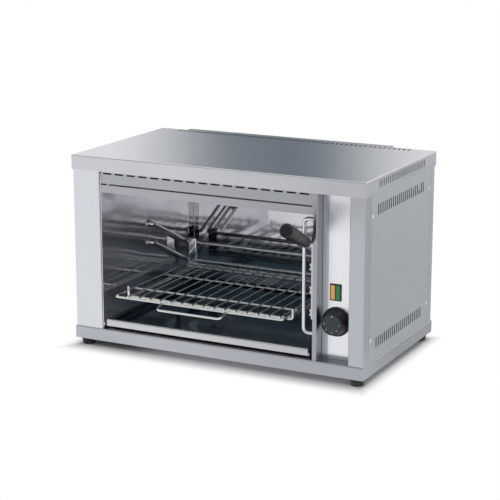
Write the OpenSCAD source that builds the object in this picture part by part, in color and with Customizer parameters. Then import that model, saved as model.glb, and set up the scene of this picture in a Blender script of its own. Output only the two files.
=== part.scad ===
// Countertop electric cheese melter: an open-fronted steel cabinet with tubular heaters under a
// reflector and a wire grid that a notched lever raises and lowers on a parallel linkage.
// Millimetres. +Z is up and the open front faces -Y. X = 0 is the middle of the cabinet, Z = 0 is
// the surface it stands on, and Y = 0 is halfway between the grip's front end and the rear casing.

/* [Cabinet] */
// Width across the cover
cabinet_w = 600; // [560:1:680]
// Depth of the cover, front to rear
cabinet_d = 344; // [324:1:400]
// Height from the plinth's lower edge to the top of the cover
cabinet_h = 358; // [340:1:420]
// Thickness of the stainless sheet
sheet = 1; // [0.8:0.1:1.4]
// Outer radius of the folds in the sheet
fold_r = 2.2; // [1.8:0.1:3]
// Height of the cover's skirt
cover_skirt_h = 28; // [22:1:36]
// Height of the plinth's skirt
base_skirt_h = 24; // [18:1:32]
// Air between the skirts and the panels inside them
skirt_gap = 0.5; // [0.3:0.1:1]
// Width of the flange that turns in under the plinth
base_flange_w = 34; // [28:1:44]
// Visible width of the left front post
left_post_w = 58; // [40:1:70]
// Visible width of the right front post
right_post_w = 29; // [22:1:40]
// Depth of the front posts' side flanges
post_side_d = 27; // [20:1:34]
// Width of the flanges of the rear posts
rear_post_w = 20; // [14:1:26]
// How far the casing behind the heated space stands out behind the cover
casing_reach = 19; // [12:1:30]

/* [Front and heated space] */
// Width of the bay that holds the controls
controls_w = 61.5; // [59:0.5:80]
// How far the control panel lies behind the front
recess_d = 24.5; // [22:0.5:34]
// Width of the narrow stile right of the opening
stile_w = 8; // [5:0.5:14]
// Air between the left post and the wall of the heated space
post_gap = 1.5; // [1:0.1:3]
// Visible height of the fascia under the cover's skirt
fascia_h = 22; // [16:1:30]
// Height of the dark slit between the fascia and the lip
slit_h = 3; // [2:0.5:5]
// Height of the lip above the opening
lip_h = 14; // [10:1:20]
// Length of the slots in the fascia
fascia_slot_l = 18.5; // [14:0.5:21]
// Width of the slots in the fascia
fascia_slot_w = 3; // [2:0.1:4]
// Distance between the slots in the fascia
fascia_slot_pitch = 25.3; // [23:0.1:30]
// Height of the heater tubes over the lip's lower edge
heater_rise = 8; // [6:0.5:12]
// Height of the reflector's roof over the heater tubes
reflector_rise = 20; // [14:1:26]
// Outer diameter of a heater tube
heater_d = 8; // [6.5:0.1:10]

/* [Vents] */
// Distance between vent slots
vent_pitch = 10; // [8:0.5:14]
// Width of a vent slot
vent_w = 4; // [2.5:0.1:5]
// Length of the slots in the side panels
side_vent_l = 20; // [14:1:26]
// Length of the slots in the cover's skirt
skirt_vent_l = 14; // [8:1:16]
// Length of the slots in the cover's roof
roof_vent_l = 16; // [10:1:20]
// Number of slots in each side row
side_vent_n = 23; // [15:1:23]
// Number of slots in the roof's row
roof_vent_n = 51; // [31:2:51]

/* [Lift] */
// Diameter of the chromed rods of the lift
rod_d = 8; // [6:0.5:10]
// Length of the lift's arms between their pivots
arm_len = 152; // [130:1:165]
// How far the arms slope down to the rear when the grid is lowest, in degrees
arm_angle = 25.2; // [22:0.1:28]
// Height of the lower pivots over the plinth
pivot_rise = 133.3; // [125:0.1:150]
// Height of the upper pivots over the lower ones
pivot_pitch = 38; // [32:0.5:44]
// Air behind the arms when they lie level
arm_rear_air = 30.5; // [20:0.5:40]
// Distance of the right arm and the lever from the wall beside them
arm_wall_air = 13; // [11:0.5:16]
// Diameter of the lever's grip at its front end
grip_d = 26; // [20:0.5:27]
// Diameter of the grip at its rear end
grip_rear_d = 22; // [16:0.5:24]
// Length of the grip
grip_len = 89; // [70:1:110]
// Number of notches for the lever
notch_n = 4; // [3:1:4]
// Height between two notches
notch_pitch = 42; // [36:0.5:46]
// Diameter of the rod that guides the lever
guide_d = 7; // [5:0.5:8]
// Running clearance of a rod in its bush, on the radius
running = 0.05; // [0.02:0.01:0.09]

/* [Grid and tray] */
// Diameter of the rod round the grid
grid_frame_d = 5; // [4:0.5:6]
// Diameter of the grid's wires
grid_wire_d = 3; // [2.5:0.1:4]
// Distance wanted between the grid's wires
grid_pitch = 22.7; // [18:0.1:30]
// Distance of the grid's front rod from the cover's front
grid_front = 16; // [10:1:26]
// Free width between the grid and the arm that carries the lever
lever_bay = 50; // [46:1:60]
// Width of the grid's pull loop
loop_w = 136; // [100:1:160]
// Reach of the pull loop in front of the grid
loop_reach = 24; // [16:1:30]
// Diameter of the carrier's rods
carrier_d = 6; // [5:0.5:8]
// Height of the crumb tray's side walls
tray_wall_h = 12; // [8:1:16]
// Height of the crumb tray's front lip
tray_lip_h = 16; // [12:1:20]

/* [Controls] */
// Diameter of the knob's skirt
knob_d = 54; // [44:1:57]
// Diameter of the knob's face
knob_face_d = 40; // [32:1:42]
// Height of the knob over the panel
knob_h = 22; // [18:0.5:22]
// Height of the knob's axis over the plinth
knob_rise = 71; // [60:1:80]
// Diameter of the regulator's shaft
shaft_d = 6; // [5:0.5:7]
// Width of the pilot lamp's bezel
lamp_w = 22; // [18:1:26]
// Height of the pilot lamp's bezel
lamp_h = 31; // [26:1:36]
// Height of the pilot lamp's middle over the plinth
lamp_rise = 125; // [118:1:160]

/* [Feet and fastenings] */
// Height of a rubber foot
foot_h = 14; // [10:1:20]
// Diameter of a rubber foot
foot_d = 28; // [22:1:32]
// Distance of a foot's axis from the cabinet's sides
foot_inset = 18; // [17:0.5:24]
// Diameter of the sheet screws' heads
screw_head_d = 8; // [6:0.5:9]
// Diameter of the sheet screws' shanks
screw_d = 3.9; // [3:0.1:4.5]

/* [Hidden] */
$fn = 48;

// Small gap between pieces that lie on each other, and slack of a screw in its hole
seat = 0.3;
screw_slack = 0.15;
// Depth to which welded wires sink into each other
weld = 0.5;
// Overlength of a cutter past the face it starts from
past = 1;

// Cabinet, across
inset = sheet + skirt_gap;
body_x = cabinet_w / 2 - inset;
left_post_x = -body_x + left_post_w;
cavity_x0 = left_post_x + post_gap + sheet;
right_post_x = body_x - right_post_w;
stile_x1 = right_post_x - controls_w;
cavity_x1 = stile_x1 - stile_w;

// Cabinet, front to rear
body_y0 = inset;
body_y1 = cabinet_d - inset;
panel_y = body_y0 + recess_d;
casing_y1 = cabinet_d + casing_reach;
casing_air = 1;
cavity_y1 = casing_y1 - 2 * sheet - casing_air;

// Cabinet, upright
deck_z = foot_h + base_skirt_h;
top_z = foot_h + cabinet_h;
roof_z = top_z - sheet;
skirt_z = top_z - cover_skirt_h;
fascia_z = skirt_z - fascia_h;
lip_z1 = fascia_z - slit_h;
lip_z0 = lip_z1 - lip_h;
heater_z = lip_z0 + heater_rise;
reflector_z = heater_z + reflector_rise;
stand_z = deck_z + seat;

// Lift
rod_r = rod_d / 2;
bend_r = rod_r + 2.5;
bush_flange = 2;
bush_wall = 2;
bush_len = 7;
arm_x0 = cavity_x0 + bush_flange + bend_r;
arm_x1 = cavity_x1 - arm_wall_air;
pivot_y = cavity_y1 - arm_len - arm_rear_air;
pivot_z = deck_z + pivot_rise;
rear_y = pivot_y + arm_len * cos(arm_angle);
rear_z = pivot_z - arm_len * sin(arm_angle);
clip_t = 1.2;
clip_d = 2 * rod_d - 2;
stub_end = sheet + bush_len + seat + clip_t + 1;
grip_gap = 2.5;
grip_reach = grip_len * cos(arm_angle) + grip_gap;
lever_len = (pivot_y + grip_reach) / cos(arm_angle);
grip_edge_r = 3;
grip_bore_l = 60;

// Notches for the lever
rack_t = 3;
rack_y = 6;
rack_air = 0.6;
rack_mid_y = rack_y + rack_t / 2;
rack_x0 = arm_x1 + rod_r + rack_air;
notch_h = 12;
notch_top_z = pivot_z + (pivot_y - rack_mid_y) * tan(arm_angle);

// Guide rod of the lever
guide_y = rack_y + rack_t + 14.5;
guide_x = arm_x1 - rod_r - 6.5 - guide_d / 2;
guide_bend_r = 10;
guide_z1 = notch_top_z + 41.5;
guide_z0 = notch_top_z - (notch_n - 1) * notch_pitch - 44;

// Grid and its carrier
grid_arm_air = 4;
grid_rear_air = 0.5;
grid_x0 = arm_x0 + rod_r + grid_arm_air;
grid_x1 = arm_x1 - lever_bay;
grid_z = rear_z - 5.6;
grid_bend_r = grid_frame_d;
wire_edge = 8.5;
wire_n = round((grid_x1 - grid_x0 - 2 * wire_edge) / grid_pitch) + 1;
wire_step = (grid_x1 - grid_x0 - 2 * wire_edge) / (wire_n - 1);
wire_z = grid_z + (grid_frame_d + grid_wire_d) / 2 - weld;
cross_y = [grid_front + 70, grid_front + 185];
loop_tilt = 19;
loop_left = 6.5;
loop_bend_r = 8;
loop_d = grid_frame_d - 0.5;
cross_d = grid_frame_d - 0.4;
carrier_r = carrier_d / 2;
carrier_bar_d = carrier_d - 0.6;
carrier_z = grid_z - grid_frame_d / 2 - seat - carrier_r;
carrier_front = grid_front + 31;
carrier_x0 = grid_x0 + wire_edge + grid_wire_d / 2 + seat + carrier_r;
carrier_x1 = grid_x1 + 0.5 + carrier_r;
stop_h = 20;
stop_bend_r = 5;
carrier_side = stop_bend_r + carrier_r + 0.5;
bracket_w = 20;
bracket_t = 2;
bracket_d = 17;
bracket_below = 14.5;
bracket_above = 9;
bracket_x0 = arm_x0 + bend_r + 1;
bracket_x1 = arm_x1 - bend_r - 1;
bracket_y = rear_y - bracket_d / 2;
grid_rear = bracket_y - grid_rear_air - grid_frame_d / 2;
open_pivot_air = 0.3;

// Crumb tray and its runners
tray_x0 = cavity_x0 + 4;
tray_x1 = cavity_x1 - 11;
tray_y0 = 14;
tray_y1 = cavity_y1 - 22;
tray_z = stand_z + sheet + seat;
runner_h = 10;
runner_foot = 14;

// Controls
knob_x = (stile_x1 + right_post_x) / 2 - 2.25;
knob_z = deck_z + knob_rise;
lamp_x = knob_x - 2;
lamp_z = deck_z + lamp_rise;
lamp_rim = 2.2;
lamp_depth = 24;
lens_h = lamp_h - 2 * lamp_rim - 0.4;
lens_w = (lamp_w - 3 * lamp_rim) / 2;
lamp_cut_w = lamp_w - 3;
lamp_cut_h = lamp_h - 3;
regulator_w = 36;
regulator_h = 40;
regulator_d = 28;
regulator_neck_r = 5;
regulator_nut_w = 14;
regulator_nut_t = 2.3;
knob_seat_y = panel_y - 0.4;
shaft_front = knob_seat_y - knob_h + 6;

// Fastenings
tab_t = sheet;
tab_reach = 15;
side_screw_rise = [40, 266];
side_screw_edge = 7;
side_panel_y0 = body_y0 + post_side_d + 0.5;
side_panel_y1 = body_y1 - rear_post_w - 0.5;
casing_rim = 12;
casing_x0 = cavity_x0 - sheet - 5;
casing_x1 = cavity_x1 + sheet + 5;
casing_z0 = foot_h + base_skirt_h / 2;
casing_z1 = top_z - sheet;
gland_x = (stile_x1 + body_x) / 2;
gland_z = deck_z + 34;
gland_neck_r = 8;
gland_bore_r = 5;
foot_screw_d = 5;

// Heated space
wall_flange = 4.5;
wall_z1 = skirt_z - 0.6;
flange_y0 = panel_y + sheet + 2;
back_flange = 22;
back_air = 0.2;
reflector_side = back_air + sheet + seat;
reflector_back = 12;
reflector_rear_air = 1.5;
leg_slack = 0.4;
shield_x = cavity_x1 + 14.5;
shield_z1 = lip_z0 - 20;
shield_flange = 10;
shield_front_air = 16;
shield_rear_air = 12;

// The origin lies halfway between the grip's front and the casing's rear
grip_front_y = -grip_reach - (grip_d / 2 - grip_edge_r) * sin(arm_angle)
  - grip_edge_r * (1 - cos(arm_angle));
origin_y = (grip_front_y + casing_y1) / 2;

// ---- Shapes that several pieces share ----

// Puts a piece drawn from the cover's front edge into the object's frame
module place() {
  translate([0, -origin_y, 0]) children();
}

function unit(v) = v / norm(v);
function left_of(d) = [-d.y, d.x];
function turns_left(a, b) = a.x * b.y - a.y * b.x > 0;

// Section of a folded sheet with square bends. The points follow one face and the sheet lies on
// the left of their direction; r is the outer radius of every bend.
module folded(pts, t = sheet, r = fold_r) {
  last = len(pts) - 1;
  dir = [for (i = [0:last - 1]) unit(pts[i + 1] - pts[i])];
  cut = [for (i = [0:last]) i == 0 || i == last ? 0 : turns_left(dir[i - 1], dir[i]) ? r : r - t];
  for (i = [0:last - 1]) {
    a = pts[i] + dir[i] * cut[i];
    b = pts[i + 1] - dir[i] * cut[i + 1];
    n = left_of(dir[i]) * t;
    polygon([a, b, b + n, a + n]);
  }
  for (i = [1:last - 1]) {
    c = pts[i] - dir[i - 1] * cut[i] + dir[i] * cut[i];
    s = dir[i - 1] - dir[i];
    translate(c)
      intersection() {
        difference() {
          circle(r);
          circle(r - t);
        }
        polygon([[0, 0], [s.x * r, 0], s * r, [0, s.y * r]]);
      }
  }
}

// A straight round rod from a to b
module rod(a, b, d) {
  v = b - a;
  translate(a)
    rotate([0, acos(v.z / norm(v)), atan2(v.y, v.x)])
      cylinder(h = norm(v), d = d);
}

// A round rod bent square in the XY plane through the points, with bend radius r on its axis
module bent_rod(pts, d, r) {
  last = len(pts) - 1;
  dir = [for (i = [0:last - 1]) unit(pts[i + 1] - pts[i])];
  for (i = [0:last - 1]) {
    a = pts[i] + dir[i] * (i == 0 ? 0 : r);
    b = pts[i + 1] - dir[i] * (i == last - 1 ? 0 : r);
    rod([a.x, a.y, 0], [b.x, b.y, 0], d);
  }
  for (i = [1:last - 1]) {
    c = pts[i] + (dir[i] - dir[i - 1]) * r;
    from = turns_left(dir[i - 1], dir[i]) ? -dir[i] : dir[i - 1];
    translate([c.x, c.y, 0])
      rotate([0, 0, atan2(from.y, from.x)])
        rotate_extrude(angle = 90)
          translate([r, 0])
            circle(d = d);
  }
}

// A slot with round ends, l long over all along X and w wide
module slot(l, w) {
  square([l - w, w], center = true);
  for (s = [-1, 1])
    translate([s * (l - w) / 2, 0])
      circle(d = w);
}

// A row of n upright slots along X
module slot_row(n, pitch, l, w) {
  for (i = [0:n - 1])
    translate([(i - (n - 1) / 2) * pitch, 0])
      rotate(90)
        slot(l, w);
}

// Block w wide, d deep and h high whose four upper edges are rounded
module soft_top_block(w, d, h, r) {
  intersection() {
    translate([0, d, 0])
      rotate([90, 0, 0])
        linear_extrude(d)
          round_top(w, h, r);
    translate([-w / 2, d / 2, 0])
      rotate([90, 0, 90])
        linear_extrude(w)
          round_top(d, h, r);
  }
}

// Outline of a block whose two upper corners are rounded, standing on Y = 0
module round_top(w, h, r) {
  translate([-w / 2, 0])
    square([w, h - r]);
  translate([-w / 2 + r, h - r])
    square([w - 2 * r, r]);
  for (s = [-1, 1])
    translate([s * (w / 2 - r), h - r])
      circle(r);
}

// Sheet pan open below, its front edge on Y = 0
module pan(w, d, h) {
  difference() {
    soft_top_block(w, d, h, fold_r);
    translate([0, sheet, -past])
      soft_top_block(w - 2 * sheet, d - 2 * sheet, h - sheet + past, fold_r - sheet);
  }
}

// Extrudes a plan section upright between two heights
module upright(z0, z1) {
  translate([0, 0, z0])
    linear_extrude(z1 - z0)
      children();
}

// Extrudes a section drawn in X and Z from y0 to y1
module along_y(y0, y1) {
  translate([0, y1, 0])
    rotate([90, 0, 0])
      linear_extrude(y1 - y0)
        children();
}

// Extrudes a section drawn in Y and Z from x0 to x1
module along_x(x0, x1) {
  translate([x0, 0, 0])
    rotate([90, 0, 90])
      linear_extrude(x1 - x0)
        children();
}

// Round bar or hole along X between x0 and x1 at a place in Y and Z
module bar_x(x0, x1, y, z, d) {
  translate([x0, y, z])
    rotate([0, 90, 0])
      cylinder(h = x1 - x0, d = d);
}

// Round bar or hole along Y between y0 and y1 at a place in X and Z
module bar_y(y0, y1, x, z, d) {
  translate([x, y1, z])
    rotate([90, 0, 0])
      cylinder(h = y1 - y0, d = d);
}

// Places of the side panels' four screws, in Y and Z
side_screws = [
  for (y = [side_panel_y0 + side_screw_edge, side_panel_y1 - side_screw_edge])
    for (rise = side_screw_rise)
      [y, deck_z + rise]
];

// Places of the casing's screws, in X and Z
casing_screw_at = [
  for (x = [casing_x0 - casing_rim / 2, casing_x1 + casing_rim / 2])
    for (k = [0, 1, 2])
      [x, deck_z + 30 + k * (skirt_z - deck_z - 60) / 2]
];

// Places of the feet, in X and Y
feet = [
  for (y = [foot_inset, cabinet_d - foot_inset])
    for (s = [-1, 1])
      [s * (cabinet_w / 2 - foot_inset), y]
];

// Heater legs: three hairpins share the depth evenly
leg_n = 6;
leg_y0 = 46;
leg_pitch = (cavity_y1 - 44 - leg_y0) / (leg_n - 1);
function leg_y(i) = leg_y0 + i * leg_pitch;

// ---- Cabinet ----

module top_cover() color("gainsboro") place() {
  vent_mid = skirt_z + cover_skirt_h / 2 + 1;
  difference() {
    translate([0, 0, skirt_z])
      pan(cabinet_w, cabinet_d, cover_skirt_h);
    upright(roof_z - fold_r, top_z + past)
      translate([0, cabinet_d - 14.5])
        slot_row(roof_vent_n, vent_pitch, roof_vent_l, vent_w);
    along_x(cabinet_w / 2 - sheet - past, cabinet_w / 2 + past)
      translate([cabinet_d / 2, vent_mid])
        slot_row(side_vent_n, vent_pitch, skirt_vent_l, vent_w);
    along_x(-cabinet_w / 2 - past, -cabinet_w / 2 + sheet + past)
      translate([cabinet_d / 2, vent_mid])
        slot_row(side_vent_n, vent_pitch, skirt_vent_l, vent_w);
  }
}

module base_pan() color("gainsboro") place() {
  difference() {
    union() {
      translate([0, 0, foot_h])
        pan(cabinet_w, cabinet_d, base_skirt_h);
      difference() {
        translate([-cabinet_w / 2, 0, foot_h])
          cube([cabinet_w, cabinet_d, sheet]);
        translate([-cabinet_w / 2 + base_flange_w, base_flange_w, foot_h - past])
          cube([cabinet_w - 2 * base_flange_w, cabinet_d - 2 * base_flange_w, sheet + 2 * past]);
      }
    }
    for (p = feet)
      translate([p.x, p.y, foot_h - past])
        cylinder(h = sheet + 2 * past, d = foot_screw_d + 2 * screw_slack);
  }
}

// Tab behind a side panel's edge, welded to a post, with the holes of its screws
module screw_tab(y0, y1) {
  translate([body_x - sheet - tab_t, y0, stand_z])
    cube([tab_t, y1 - y0, roof_z - seat - stand_z]);
}

module side_screw_holes(d) {
  for (p = side_screws)
    bar_x(body_x - sheet - tab_t - past, body_x + past, p.x, p.y, d);
}

module left_column() color("lightgray") place() {
  difference() {
    union() {
      upright(stand_z, roof_z - seat)
        folded([
          [-body_x, body_y0 + post_side_d], [-body_x, body_y0], [left_post_x, body_y0],
          [left_post_x, body_y0 + post_side_d]
        ]);
      mirror([1, 0, 0])
        screw_tab(body_y0 + post_side_d - 8, body_y0 + post_side_d + tab_reach);
    }
    mirror([1, 0, 0])
      side_screw_holes(screw_d + 2 * screw_slack);
  }
}

module right_column() color("lightgray") place() {
  difference() {
    union() {
      upright(stand_z, roof_z - seat)
        folded([
          [right_post_x, panel_y - seat], [right_post_x, body_y0], [body_x, body_y0],
          [body_x, body_y0 + post_side_d]
        ]);
      screw_tab(body_y0 + post_side_d - 8, body_y0 + post_side_d + tab_reach);
    }
    side_screw_holes(screw_d + 2 * screw_slack);
  }
}

// Rear post of the right side, mirrored for the left one
module rear_post() {
  difference() {
    union() {
      upright(stand_z, roof_z - seat)
        folded([
          [body_x, body_y1 - rear_post_w], [body_x, body_y1], [body_x - rear_post_w, body_y1]
        ]);
      screw_tab(body_y1 - rear_post_w - tab_reach, body_y1 - rear_post_w + 8);
    }
    side_screw_holes(screw_d + 2 * screw_slack);
  }
}

module rear_post_left() color("lightgray") place() mirror([1, 0, 0]) rear_post();

module rear_post_right() color("lightgray") place() rear_post();

// Removable slotted panel of the right side, mirrored for the left one
module side_panel() {
  z0 = stand_z;
  z1 = roof_z - seat;
  difference() {
    translate([body_x - sheet, side_panel_y0, z0])
      cube([sheet, side_panel_y1 - side_panel_y0, z1 - z0]);
    along_x(body_x - sheet - past, body_x + past)
      for (mid = [deck_z + 31, skirt_z - 30.5])
        translate([cabinet_d / 2, mid])
          slot_row(side_vent_n, vent_pitch, side_vent_l, vent_w);
    side_screw_holes(screw_d + 2 * screw_slack);
  }
}

module left_side_panel() color("darkgray") place() mirror([1, 0, 0]) side_panel();

module right_side_panel() color("darkgray") place() side_panel();

module back_panel() color("darkgray") place() {
  y1 = body_y1 - sheet;
  lap = 8;
  x = body_x - rear_post_w + lap;
  difference() {
    translate([-x, y1 - sheet, stand_z])
      cube([2 * x, sheet, roof_z - seat - stand_z]);
    translate([cavity_x0 - wall_flange - 1, y1 - sheet - past, stand_z - past])
      cube([
        cavity_x1 - cavity_x0 + 2 * (wall_flange + 1), sheet + 2 * past,
        roof_z - seat - stand_z - 18
      ]);
    for (p = casing_screw_at)
      bar_y(y1 - sheet - past, y1 + past, p.x, p.y, screw_d + 2 * screw_slack);
    bar_y(y1 - sheet - past, y1 + past, gland_x, gland_z, 2 * gland_neck_r + 0.4);
    along_y(y1 - sheet - past, y1 + past)
      translate([gland_x, skirt_z - 40])
        slot_row(4, vent_pitch, side_vent_l, vent_w);
  }
}

// Shallow box over the rear of the heated space, with rims that lie on the back panel
module rear_casing() color("gray") place() {
  rim_y = body_y1 - sheet;
  depth = casing_y1 - cabinet_d;
  difference() {
    union() {
      upright(casing_z0, casing_z1)
        folded([
          [casing_x1, cabinet_d], [casing_x1, casing_y1], [casing_x0, casing_y1],
          [casing_x0, cabinet_d]
        ]);
      for (z = [casing_z0, casing_z1 - sheet])
        translate([casing_x0 + sheet, cabinet_d, z])
          cube([casing_x1 - casing_x0 - 2 * sheet, depth - sheet, sheet]);
      upright(deck_z + 1, skirt_z - 1)
        for (x = [casing_x0 - casing_rim, casing_x1])
          translate([x, rim_y])
            square([casing_rim, sheet]);
      upright(deck_z + 1, skirt_z - 1)
        for (x = [casing_x0, casing_x1 - sheet])
          translate([x, rim_y])
            square([sheet, cabinet_d - rim_y]);
    }
    for (p = casing_screw_at)
      bar_y(rim_y - past, rim_y + sheet + past, p.x, p.y, screw_d + 2 * screw_slack);
  }
}

// Front sheet with the fascia, the slit, the lip and the stile that folds back beside the controls
module front_frame() color("silver") place() {
  x0 = cavity_x0 + 2;
  z1 = roof_z - seat;
  slot_n = floor((cavity_x1 - x0 - fascia_slot_l - 10) / fascia_slot_pitch) + 1;
  difference() {
    union() {
      upright(stand_z, z1)
        folded([[x0, body_y0], [stile_x1, body_y0], [stile_x1, panel_y - seat]]);
      translate([x0, body_y0, z1 - sheet])
        cube([cavity_x1 - x0, 14, sheet]);
    }
    along_y(body_y0 - past, body_y0 + sheet + past) {
      translate([x0 - past, stand_z - past])
        square([cavity_x1 - x0 + past, lip_z0 - stand_z + past]);
      translate([x0 - past, lip_z1])
        square([cavity_x1 - x0 - 2 + past, slit_h]);
      translate([(x0 + cavity_x1) / 2 - 2, skirt_z - fascia_slot_w / 2 - 1.2])
        for (i = [0:slot_n - 1])
          translate([(i - (slot_n - 1) / 2) * fascia_slot_pitch, 0])
            slot(fascia_slot_l, fascia_slot_w);
    }
  }
}

// Recessed panel behind the knob and the lamp, with flanges that turn back
module control_panel() color("whitesmoke") place() {
  x0 = stile_x1 - sheet;
  x1 = right_post_x + 14;
  flange = 12;
  difference() {
    upright(stand_z, roof_z - seat)
      folded([
        [x0, panel_y + flange], [x0, panel_y], [x1, panel_y], [x1, panel_y + flange]
      ]);
    bar_y(panel_y - past, panel_y + sheet + past, knob_x, knob_z, 2 * regulator_neck_r + 0.4);
    translate([lamp_x - lamp_cut_w / 2, panel_y - past, lamp_z - lamp_cut_h / 2])
      cube([lamp_cut_w, sheet + 2 * past, lamp_cut_h]);
  }
}

// ---- Heated space ----

// Right wall of the heated space, mirrored for the left one. Its inner face lies at x.
module cavity_wall(x) {
  along_y(flange_y0, cavity_y1 + sheet)
    folded([[x + wall_flange, wall_z1], [x, wall_z1], [x, stand_z], [x + wall_flange, stand_z]]);
  translate([x, body_y0 + sheet, stand_z + fold_r])
    cube([sheet, flange_y0 - body_y0 - sheet, wall_z1 - stand_z - 2 * fold_r]);
}

// Holes for the two bushes of one wall
module bush_holes(x) {
  for (z = [pivot_z, pivot_z + pivot_pitch])
    bar_x(x - past, x + sheet + past, pivot_y, z, rod_d + 2 * bush_wall + 0.2);
}

module cavity_left_wall() color("dimgray") place() {
  mirror([1, 0, 0])
    difference() {
      cavity_wall(-cavity_x0);
      bush_holes(-cavity_x0);
      along_x(-cavity_x0 - past, -cavity_x0 + sheet + past)
        for (z = [pivot_z, pivot_z + pivot_pitch])
          translate([pivot_y, z + pivot_pitch / 2])
            rotate(90)
              slot(6, 2);
    }
}

module cavity_right_wall() color("dimgray") place() {
  difference() {
    cavity_wall(cavity_x1);
    bush_holes(cavity_x1);
    for (i = [0:leg_n - 1])
      bar_x(cavity_x1 - past, cavity_x1 + sheet + past, leg_y(i), heater_z, heater_d + 0.4);
    for (z = [guide_z0, guide_z1])
      bar_x(cavity_x1 - past, cavity_x1 + sheet + past, guide_y, z, guide_d + 0.2);
  }
}

module cavity_back_wall() color("dimgray") place() {
  x0 = cavity_x0 + back_air;
  x1 = cavity_x1 - back_air;
  upright(stand_z, wall_z1)
    folded([
      [x1, cavity_y1 - back_flange], [x1, cavity_y1 + sheet],
      [x0, cavity_y1 + sheet], [x0, cavity_y1 - back_flange]
    ]);
}

// Tray of bright sheet over the heaters, open below; their legs pass through its right skirt
module reflector() color("silver") place() {
  y0 = body_y0 + sheet + reflector_back;
  z0 = lip_z0 + 2;
  difference() {
    translate([(cavity_x0 + cavity_x1) / 2, y0, z0])
      pan(cavity_x1 - cavity_x0 - 2 * reflector_side, cavity_y1 - reflector_rear_air - y0,
        reflector_z - z0);
    for (i = [0:leg_n - 1])
      bar_x(cavity_x1 - reflector_side - sheet - past, cavity_x1 + past, leg_y(i), heater_z,
        heater_d + 2 * leg_slack);
  }
}

// Sheet that keeps the heat of the wall away from the controls
module heat_shield() color("darkgray") place() {
  x1 = shield_x + shield_flange;
  along_y(panel_y + shield_front_air, body_y1 - shield_rear_air)
    folded([[x1, shield_z1], [shield_x, shield_z1], [shield_x, stand_z], [x1, stand_z]]);
}

// Hairpin heater over two legs, with a collar where each leg leaves the right wall
module heater(i) {
  x0 = cavity_x0 + 26;
  x1 = cavity_x1 + sheet + 12;
  translate([0, 0, heater_z])
    bent_rod([[x1, leg_y(i)], [x0, leg_y(i)], [x0, leg_y(i + 1)], [x1, leg_y(i + 1)]],
      heater_d, leg_pitch / 2 - 3);
  for (k = [i, i + 1])
    bar_x(cavity_x1 + sheet + seat, cavity_x1 + sheet + 3, leg_y(k), heater_z, heater_d + 6);
}

module heater_front() color([0.33, 0.3, 0.28]) place() heater(0);

module heater_middle() color([0.33, 0.3, 0.28]) place() heater(2);

module heater_rear() color([0.33, 0.3, 0.28]) place() heater(4);

// Threaded studs with nuts on the six heater ends
module heater_terminals() color("goldenrod") place() {
  x = cavity_x1 + sheet + 12;
  for (i = [0:leg_n - 1]) {
    bar_x(x, x + 13, leg_y(i), heater_z, 4);
    translate([x + 5, leg_y(i), heater_z])
      rotate([0, 90, 0])
        cylinder(h = 3.2, d = 8, $fn = 6);
  }
}

// Hanging plate whose holes carry the heater tubes
module heater_hanger(x) {
  z0 = heater_z - heater_d / 2 - 3;
  z1 = reflector_z - sheet - 0.2;
  difference() {
    translate([x, leg_y(0) - 14, z0])
      cube([1.5, leg_y(leg_n - 1) - leg_y(0) + 28, z1 - z0]);
    for (i = [0:leg_n - 1])
      bar_x(x - past, x + 1.5 + past, leg_y(i), heater_z, heater_d + 0.4);
  }
}

module heater_hanger_left() color("silver") place() heater_hanger(cavity_x0 + 80);

module heater_hanger_right() color("silver") place() heater_hanger(cavity_x1 - 60);

// ---- Crumb tray ----

// Angle on the plinth that carries the tray's edge; x is the back of its upright side
module tray_runner(x) {
  along_y(flange_y0, tray_y1 - 1)
    folded([[x, stand_z + runner_h], [x, stand_z], [x + runner_foot, stand_z]]);
}

module tray_runner_left() color("silver") place() tray_runner(cavity_x0 + seat);

module tray_runner_right() color("silver") place() {
  mirror([1, 0, 0])
    tray_runner(-tray_x1 - 3);
}

module crumb_tray() color([0.25, 0.27, 0.29]) place() {
  lip_y = tray_y0 - 6;
  along_y(tray_y0 + fold_r, tray_y1)
    folded([
      [tray_x0, tray_z + tray_wall_h], [tray_x0, tray_z], [tray_x1, tray_z],
      [tray_x1, tray_z + tray_wall_h]
    ]);
  translate([tray_x0 + sheet, tray_y1 - sheet, tray_z + sheet])
    cube([tray_x1 - tray_x0 - 2 * sheet, sheet, tray_wall_h - sheet]);
  along_x(tray_x0, tray_x1)
    folded([
      [lip_y, tray_z + tray_lip_h - 12], [lip_y, tray_z + tray_lip_h],
      [tray_y0, tray_z + tray_lip_h], [tray_y0, tray_z], [tray_y0 + 2 * fold_r, tray_z]
    ]);
}

// ---- Lift ----

// Toothed strip beside the lever; the lever is pressed sideways into a notch to hold the grid
module notch_rack() color("silver") place() {
  strip_x = rack_x0 + 3.6;
  x1 = cavity_x1 - seat;
  z0 = notch_top_z - (notch_n - 1) * notch_pitch - notch_h;
  z1 = notch_top_z + notch_h;
  difference() {
    union() {
      translate([strip_x, rack_y, z0])
        cube([x1 - strip_x, rack_t, z1 - z0]);
      translate([x1 - sheet, rack_y, z0])
        cube([sheet, rack_t + 8, z1 - z0]);
      along_y(rack_y, rack_y + rack_t)
        for (i = [0:notch_n - 1])
          translate([strip_x, notch_top_z - i * notch_pitch]) {
            translate([rack_x0 - strip_x + 1.5, -notch_h / 2])
              square([strip_x - rack_x0, notch_h]);
            translate([rack_x0 - strip_x, -notch_h / 2 + 1.5])
              square([1.5, notch_h - 3]);
            for (s = [-1, 1])
              translate([rack_x0 - strip_x + 1.5, s * (notch_h / 2 - 1.5)])
                circle(1.5);
          }
    }
    along_y(rack_y - past, rack_y + rack_t + past)
      for (i = [0:notch_n - 1])
        translate([rack_x0 - rod_r + 2, notch_top_z - i * notch_pitch])
          circle(rod_r + 0.2);
  }
}

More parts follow.
